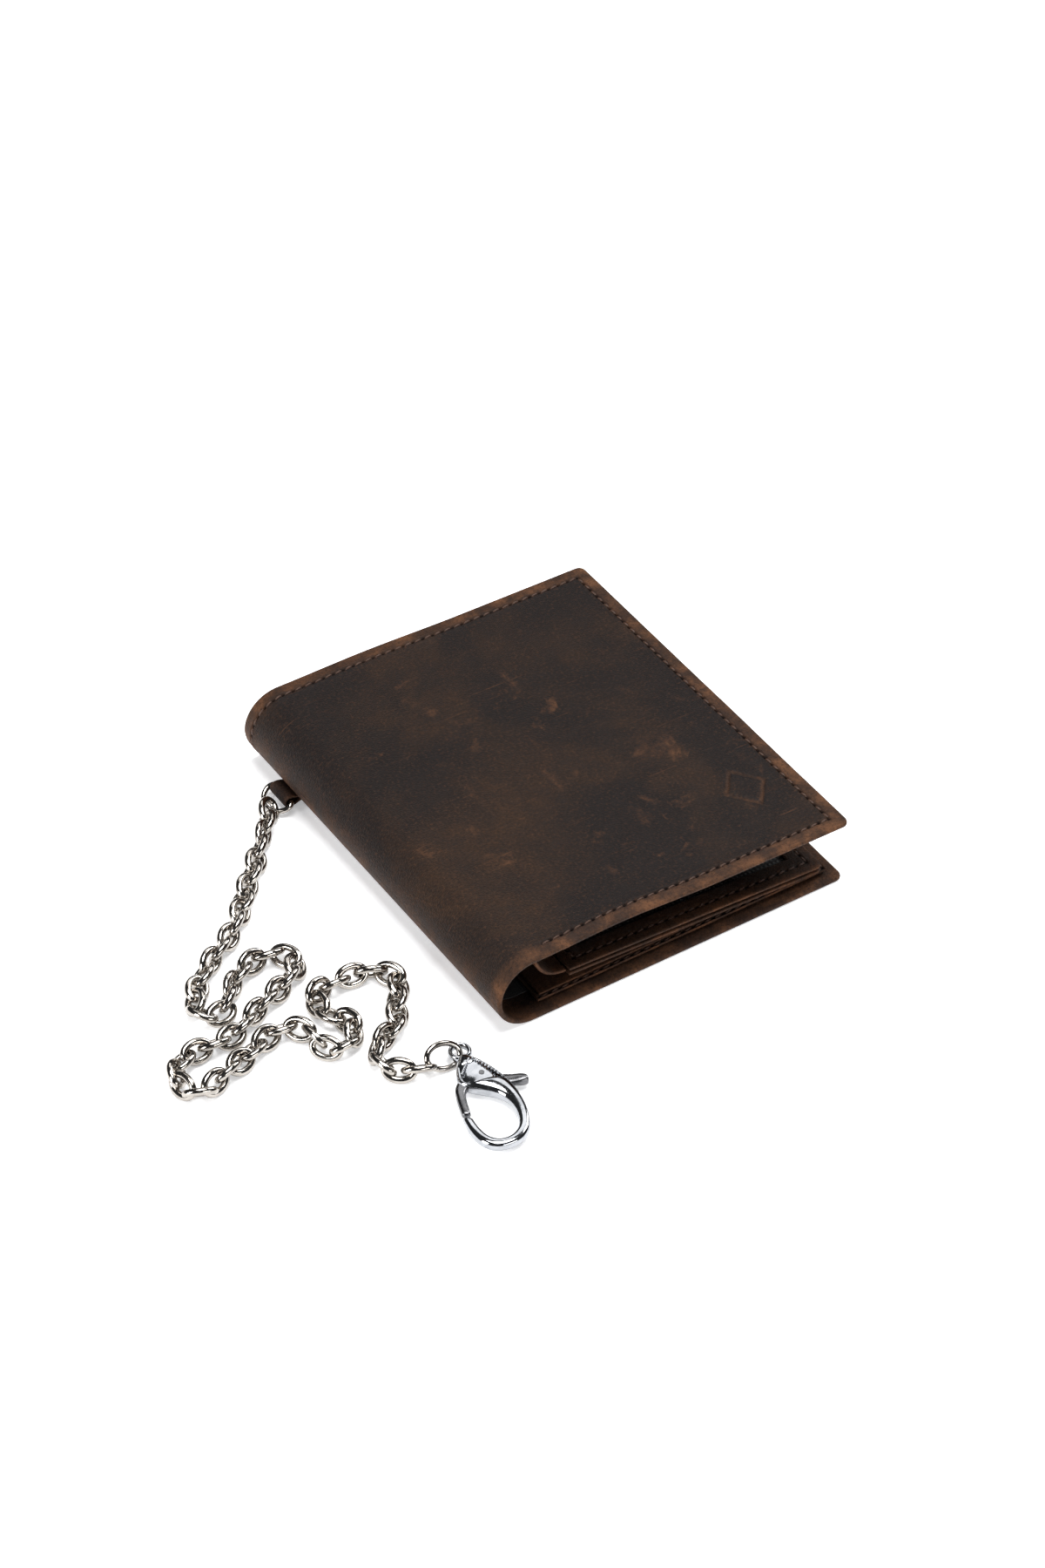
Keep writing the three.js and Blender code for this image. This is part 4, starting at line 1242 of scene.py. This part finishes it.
# %% Place of the clasp, and the end ring in its eye
CLASP_FROM_BAR, CLASP_ANGLE, CLASP_MID = (-11.6 * MM, -104.4 * MM), math.radians(-18.3), 2.3 * MM
EYE_T, EYE_S = -0.7, -2.4
END_PITCH, END_ROLL = math.radians(11.5), math.radians(49)
clasp_seat = Vector((BAR.x + CLASP_FROM_BAR[0], BAR.y + CLASP_FROM_BAR[1], 0))
clasp_turn = Matrix.Rotation(CLASP_ANGLE, 4, "Z")
eye_seat = clasp_seat + clasp_turn @ Vector((EYE_T * MM, -EYE_S * MM, CLASP_MID))
END_LENGTH, END_WIDTH, END_WIRE = 10.6 * MM, 7.6 * MM, 1.5 * MM
end_low, end_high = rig.box("end_ring")
end_middle = (end_low + end_high) / 2
from_eye = eye_seat - end_middle
end_turn = math.atan2(from_eye.y, from_eye.x)
end_ring = ring_of_wire(END_LENGTH, END_WIDTH, END_WIRE, segments=32, sides=12)
bmesh.ops.transform(end_ring, verts=end_ring.verts, matrix=Matrix.Translation(end_middle)
                    @ Matrix.Rotation(end_turn, 4, "Z") @ Matrix.Rotation(END_PITCH, 4, "Y")
                    @ Matrix.Rotation(END_ROLL, 4, "X"))
end_piece = piece_from("end_ring_wire", end_ring, [nickel_plate], "nickel_chain", crease=60)
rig.replaces(end_piece, "end_ring")
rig.ride(end_piece, "back")
print("rings at", [round(value * 1000, 1) for value in end_middle])

# %% [markdown]
# ## The leather tab
# A short strap goes round the D-ring's bar and in through a slit under the spine, where it is sewn. It is
# swept in under the bar, round it and back out on top, and its two plies come together at the neck.

# %% Tab
tab_low, tab_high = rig.box("anchor_tab")
TAB_PLY, BEND_IN, STRAP_INSIDE = 0.75 * MM, 4.2 * MM, 1.06 * MM
tab_half = (tab_high.y - tab_low.y) / 2
strap_radius = STRAP_INSIDE + TAB_PLY / 2
neck = tab_high.x - BAR.x
touching = TAB_PLY / 2 + 0.02 * MM
tab = bmesh.new()
section = bmesh.ops.create_circle(tab, segments=28, radius=1.0)["verts"]
for vert in section:
    around = math.atan2(vert.co.y, vert.co.x)
    across = math.copysign(abs(math.cos(around)) ** 0.22, math.cos(around)) * tab_half
    upward = math.copysign(abs(math.sin(around)) ** 0.45, math.sin(around)) * TAB_PLY / 2
    vert.co = Vector((neck, across, upward - touching))
eased = [(-BEND_IN / 5, 0, (touching - strap_radius) * share) for share in (0.1, 0.24, 0.32, 0.24, 0.1)]
sweep(tab, section, [("run", (BEND_IN - neck, 0, 0))] + [("run", step) for step in eased]
      + [("turn", (0, 0, 0), (0, 1, 0), math.pi, 14)]
      + [("run", (-x, y, z)) for x, y, z in reversed(eased)] + [("run", (neck - BEND_IN, 0, 0))])
finish_sweep(tab)
bmesh.ops.translate(tab, verts=tab.verts, vec=BAR)
uv = tab.loops.layers.uv.new("flat")
rub_layer = tab.verts.layers.float.new("rub")
tab.verts.layers.float.new("pit")
for face in tab.faces:
    for item in face.loops:
        item[uv].uv = (item.vert.co.x + item.vert.co.z + 0.4, item.vert.co.y)
for vert in tab.verts:
    vert[rub_layer] = 0.1 + 0.45 * (abs(vert.co.y - BAR.y) / tab_half) ** 6
tab_piece = piece_from("tab_leather", tab, [outer_leather], "outer_leather")
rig.replaces(tab_piece, "anchor_tab")
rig.ride(tab_piece, "back")

# %% [markdown]
# ## The clasp
# The body is one casting: rings of points are laid along the hook from the eye round to the nose and
# bridged, then smoothed. The head is sunk in a triangle with two rows of small beads. A slot is cut through
# the head for the lever, which swings on a pin and closes the hook.


# %% Clasp body
def on_clasp(t, s, z=0.0):
    """A point of the clasp: t across, s along from the eye towards the hook's top, in millimetres."""
    return clasp_seat + clasp_turn @ Vector((t * MM, -s * MM, CLASP_MID + z * MM))


def loft(rings, sides=16, square=0.8):
    """Bridges oval rings, each given by two opposite points and a height, and closes both ends."""
    bm = bmesh.new()
    loops = []
    for (t0, s0), (t1, s1), height in rings:
        middle, half = Vector((t0 + t1, s0 + s1)) / 2, Vector((t1 - t0, s1 - s0)) / 2
        verts = bmesh.ops.create_circle(bm, segments=sides, radius=1.0)["verts"]
        loops.append(list({edge for vert in verts for edge in vert.link_edges}))
        for vert in verts:
            around = math.atan2(vert.co.y, vert.co.x)
            across = math.copysign(abs(math.cos(around)) ** square, math.cos(around))
            upward = math.copysign(abs(math.sin(around)) ** square, math.sin(around))
            vert.co = on_clasp(*(middle + half * across), upward * height / 2)
    for first, second in zip(loops, loops[1:]):
        bmesh.ops.bridge_loops(bm, edges=first + second)
    bmesh.ops.holes_fill(bm, edges=bm.edges, sides=0)
    bmesh.ops.recalc_face_normals(bm, faces=bm.faces)
    return bm


HOOK = [
    ((-1.5, -0.3), (0.3, -0.8), 2.4), ((-1.9, 0.3), (0.7, -0.3), 3.2), ((-3.1, 2.8), (3.2, 1.8), 4.3),
    ((-3.9, 6.2), (5.6, 4.8), 4.7), ((-4.2, 8.9), (7.4, 7.8), 4.7), ((-1.4, 10.8), (8.5, 10.3), 4.5),
    ((1.6, 12.2), (9.2, 12.4), 4.0), ((4.8, 14.0), (9.8, 15.0), 3.4), ((6.9, 17.2), (10.2, 17.8), 3.0),
    ((7.5, 21.2), (10.3, 21.4), 2.8), ((6.8, 25.2), (9.5, 26.3), 2.8), ((4.4, 27.7), (6.6, 30.1), 2.8),
    ((1.4, 28.3), (0.6, 31.3), 2.8), ((-1.2, 26.6), (-2.9, 29.2), 2.8), ((-2.6, 22.9), (-4.9, 25.2), 2.8),
    ((-3.0, 20.6), (-5.6, 20.0), 2.6), ((-3.1, 20.1), (-5.5, 19.3), 2.3),
]
HEAD_FROM, HEAD_TO, HEAD_NORMAL = 1.5, 11.0, 0.55
body = loft(HOOK)
body.normal_update()


def down_clasp(point):
    """How far a point lies from the clasp's seat towards the hook, in millimetres."""
    return -(clasp_turn.inverted() @ (point - clasp_seat)).y / MM


head = [face for face in body.faces if face.normal.z > HEAD_NORMAL
        and HEAD_FROM < down_clasp(face.calc_center_median()) < HEAD_TO]
bmesh.ops.inset_region(body, faces=head, thickness=0.75 * MM, depth=0)
bmesh.ops.inset_region(body, faces=head, thickness=0.12 * MM, depth=-0.3 * MM)
body_piece = piece_from("clasp_casting", body, [clasp_chrome], "clasp_metal", crease=70)
smoothing = body_piece.modifiers.new("casting", "SUBSURF")
smoothing.levels = smoothing.render_levels = 2

# %% The slot for the lever
SLOT_SIZE, SLOT_MIDDLE = (30, 8.4, 2.3), 8.4
cutter_bm = bmesh.new()
bmesh.ops.create_cube(cutter_bm, size=1.0)
for vert in cutter_bm.verts:
    t, s, z = (value * size for value, size in zip(vert.co, SLOT_SIZE))
    vert.co = on_clasp(t, SLOT_MIDDLE + s, z)
cutter = piece_from("slot_cutter", cutter_bm, [clasp_chrome], "clasp_metal")
slot = body_piece.modifiers.new("slot", "BOOLEAN")
slot.object, slot.operation, slot.solver = cutter, "DIFFERENCE", "EXACT"
depsgraph = bpy.context.evaluated_depsgraph_get()
shaped = bpy.data.meshes.new_from_object(body_piece.evaluated_get(depsgraph))
body_piece.modifiers.clear()
body_piece.data = shaped
bpy.data.objects.remove(cutter)
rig.replaces(body_piece, "clasp_body")
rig.ride(body_piece, "back")

# %% The clasp's eye and beads
EYE_WIRE, EYE_RADIUS, EYE_TALL = 0.62 * MM, 2.35 * MM, 1.5
BEAD_ROWS = ((-2.4, 6.6), (0.3, 2.2)), ((5.9, 8.4), (1.3, 2.1))
BEADS, BEAD_RADIUS, BEAD_Z = 9, 0.33 * MM, 2.2
details = bmesh.new()
eye_wire = bmesh.ops.create_circle(details, segments=12, radius=EYE_WIRE)["verts"]
for vert in eye_wire:
    vert.co = Vector((vert.co.x + EYE_RADIUS, 0, vert.co.y * EYE_TALL))
sweep(details, eye_wire, [("turn", (0, 0, 0), (0, 0, 1), 2 * math.pi, 32)])
finish_sweep(details)
for vert in details.verts:
    vert.co = on_clasp(EYE_T + vert.co.x / MM, EYE_S + vert.co.y / MM, vert.co.z / MM)
bead = bmesh.new()
bmesh.ops.create_icosphere(bead, subdivisions=2, radius=BEAD_RADIUS)
for start, end in BEAD_ROWS:
    for index in range(BEADS):
        t, s = (a + (b - a) * index / (BEADS - 1) for a, b in zip(start, end))
        join_copy(details, bead, Matrix.Translation(on_clasp(t, s, BEAD_Z)))
bead.free()
bmesh.ops.recalc_face_normals(details, faces=details.faces)
detail_piece = piece_from("clasp_eye_and_beads", details, [clasp_chrome], "clasp_metal", crease=60)
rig.ride(detail_piece, "back")

# %% Clasp lever
GATE = [
    ((-5.3, 18.5), (-3.2, 18.9), 1.6), ((-5.4, 17.8), (-3.1, 18.0), 2.0), ((-5.4, 14.5), (-3.1, 14.6), 2.1),
    ((-5.3, 11.6), (-2.9, 11.6), 2.1), ((-5.0, 9.0), (-2.0, 10.4), 1.8), ((-2.6, 6.0), (-0.5, 9.9), 1.7),
    ((2.0, 5.2), (2.6, 9.5), 1.7), ((6.6, 7.2), (5.6, 10.7), 1.7), ((9.3, 8.1), (8.8, 11.2), 1.8),
    ((10.8, 8.3), (10.4, 11.5), 2.5), ((12.2, 8.8), (11.9, 11.5), 2.7), ((13.0, 9.6), (12.9, 11.2), 2.3),
]
gate = loft(GATE, square=0.75)
gate_piece = piece_from("clasp_lever", gate, [spring_steel], "clasp_metal", crease=70)
smoothing = gate_piece.modifiers.new("lever", "SUBSURF")
smoothing.levels = smoothing.render_levels = 2
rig.replaces(gate_piece, "clasp_trigger")
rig.ride(gate_piece, "trigger")
pin_and_spring = [bpy.data.objects["clasp_pin"], bpy.data.objects["clasp_spring"]]
for shown in pin_and_spring:
    shown.data.materials.clear()
    shown.data.materials.append(spring_steel)

# %% The chain is a cord from the D-ring to the clasp
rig.cord(chain, exit=(route[0].x, route[0].y, route[0].z), length=route_length, diameter=LINK_WIDTH,
        far_end="connector", stiffness="limp", lay="loose", path=[tuple(point) for point in route[::6]],
        with_pieces=[end_piece, body_piece, detail_piece, gate_piece, d_piece, tab_piece] + pin_and_spring)
print(f"cord: {route_length * 1000:.0f} mm of chain, {LINK_WIDTH * 1000:.1f} mm across")

# %% [markdown]
# ## Floor and light
# The floor is pale and glows a little, so it stays white round the soft shadows. Five soft lights stand
# above, left, in front, right and behind, all aimed at the wallet. The world is dim, which leaves the dark
# reflections that make polished metal read as metal.

# %% Floor
FLOOR_GLOW, WORLD_STRENGTH = 0.36, 0.045
floor_bm = bmesh.new()
bmesh.ops.create_grid(floor_bm, x_segments=1, y_segments=1, size=3.0)
floor_mesh = bpy.data.meshes.new("floor")
floor_bm.to_mesh(floor_mesh)
floor_bm.free()
floor = bpy.data.objects.new("floor", floor_mesh)
bpy.context.scene.collection.objects.link(floor)
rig.stage(floor)
paper, tree, shader = new_material("paper_floor")
where = add(tree, "TexCoord").outputs["Object"]
paper_noise = noise_value(tree, where, 3.0, 2.0)
tree.links.new(mix_colour(tree, paper_noise, (0.92, 0.92, 0.925, 1), (0.95, 0.95, 0.95, 1)),
               shader.inputs["Base Color"])
shader.inputs["Roughness"].default_value = 0.8
shader.inputs["Emission Color"].default_value = (0.97, 0.98, 1.0, 1)
shader.inputs["Emission Strength"].default_value = FLOOR_GLOW
floor_mesh.materials.append(paper)

print(f"floor glow {FLOOR_GLOW}")

# %% World and lights
world = bpy.data.worlds.new("studio")
bpy.context.scene.world = world
world.use_nodes = True
world.node_tree.nodes["Background"].inputs[0].default_value = (0.95, 0.97, 1.0, 1)
world.node_tree.nodes["Background"].inputs[1].default_value = WORLD_STRENGTH


def soft_light(name, place, size, power):
    """A rectangle of light, aimed at the origin."""
    light = bpy.data.lights.new(name, "AREA")
    light.shape = "RECTANGLE"
    light.size, light.size_y = size
    light.energy = power
    lamp = bpy.data.objects.new(name, light)
    lamp.location = place
    lamp.rotation_euler = (Vector((0, 0, 0)) - Vector(place)).to_track_quat("-Z", "Y").to_euler()
    bpy.context.scene.collection.objects.link(lamp)


LIGHTS = (
    ("top", (0.1, 0.0, 1.5), (0.9, 0.9), 25),
    ("left", (-1.4, -0.1, 0.55), (0.5, 1.0), 20),
    ("front", (0.15, -1.4, 0.5), (1.0, 0.4), 7),
    ("right", (1.3, 0.3, 1.0), (0.5, 1.0), 13),
    ("back", (0.75, 1.1, 1.25), (1.1, 0.7), 5),
)
for settings in LIGHTS:
    soft_light(*settings)
bpy.context.scene.view_settings.view_transform = "Standard"
print("lights:", ", ".join(settings[0] for settings in LIGHTS))

# %% The end
with open("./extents.json", "w") as file:
    boxes = {"cad": cad_box, "visual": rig.bounds()}
    json.dump({name: [list(corner) for corner in box] for name, box in boxes.items()}, file)
print("visual box:", [[round(value * 1000, 1) for value in corner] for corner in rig.bounds()])
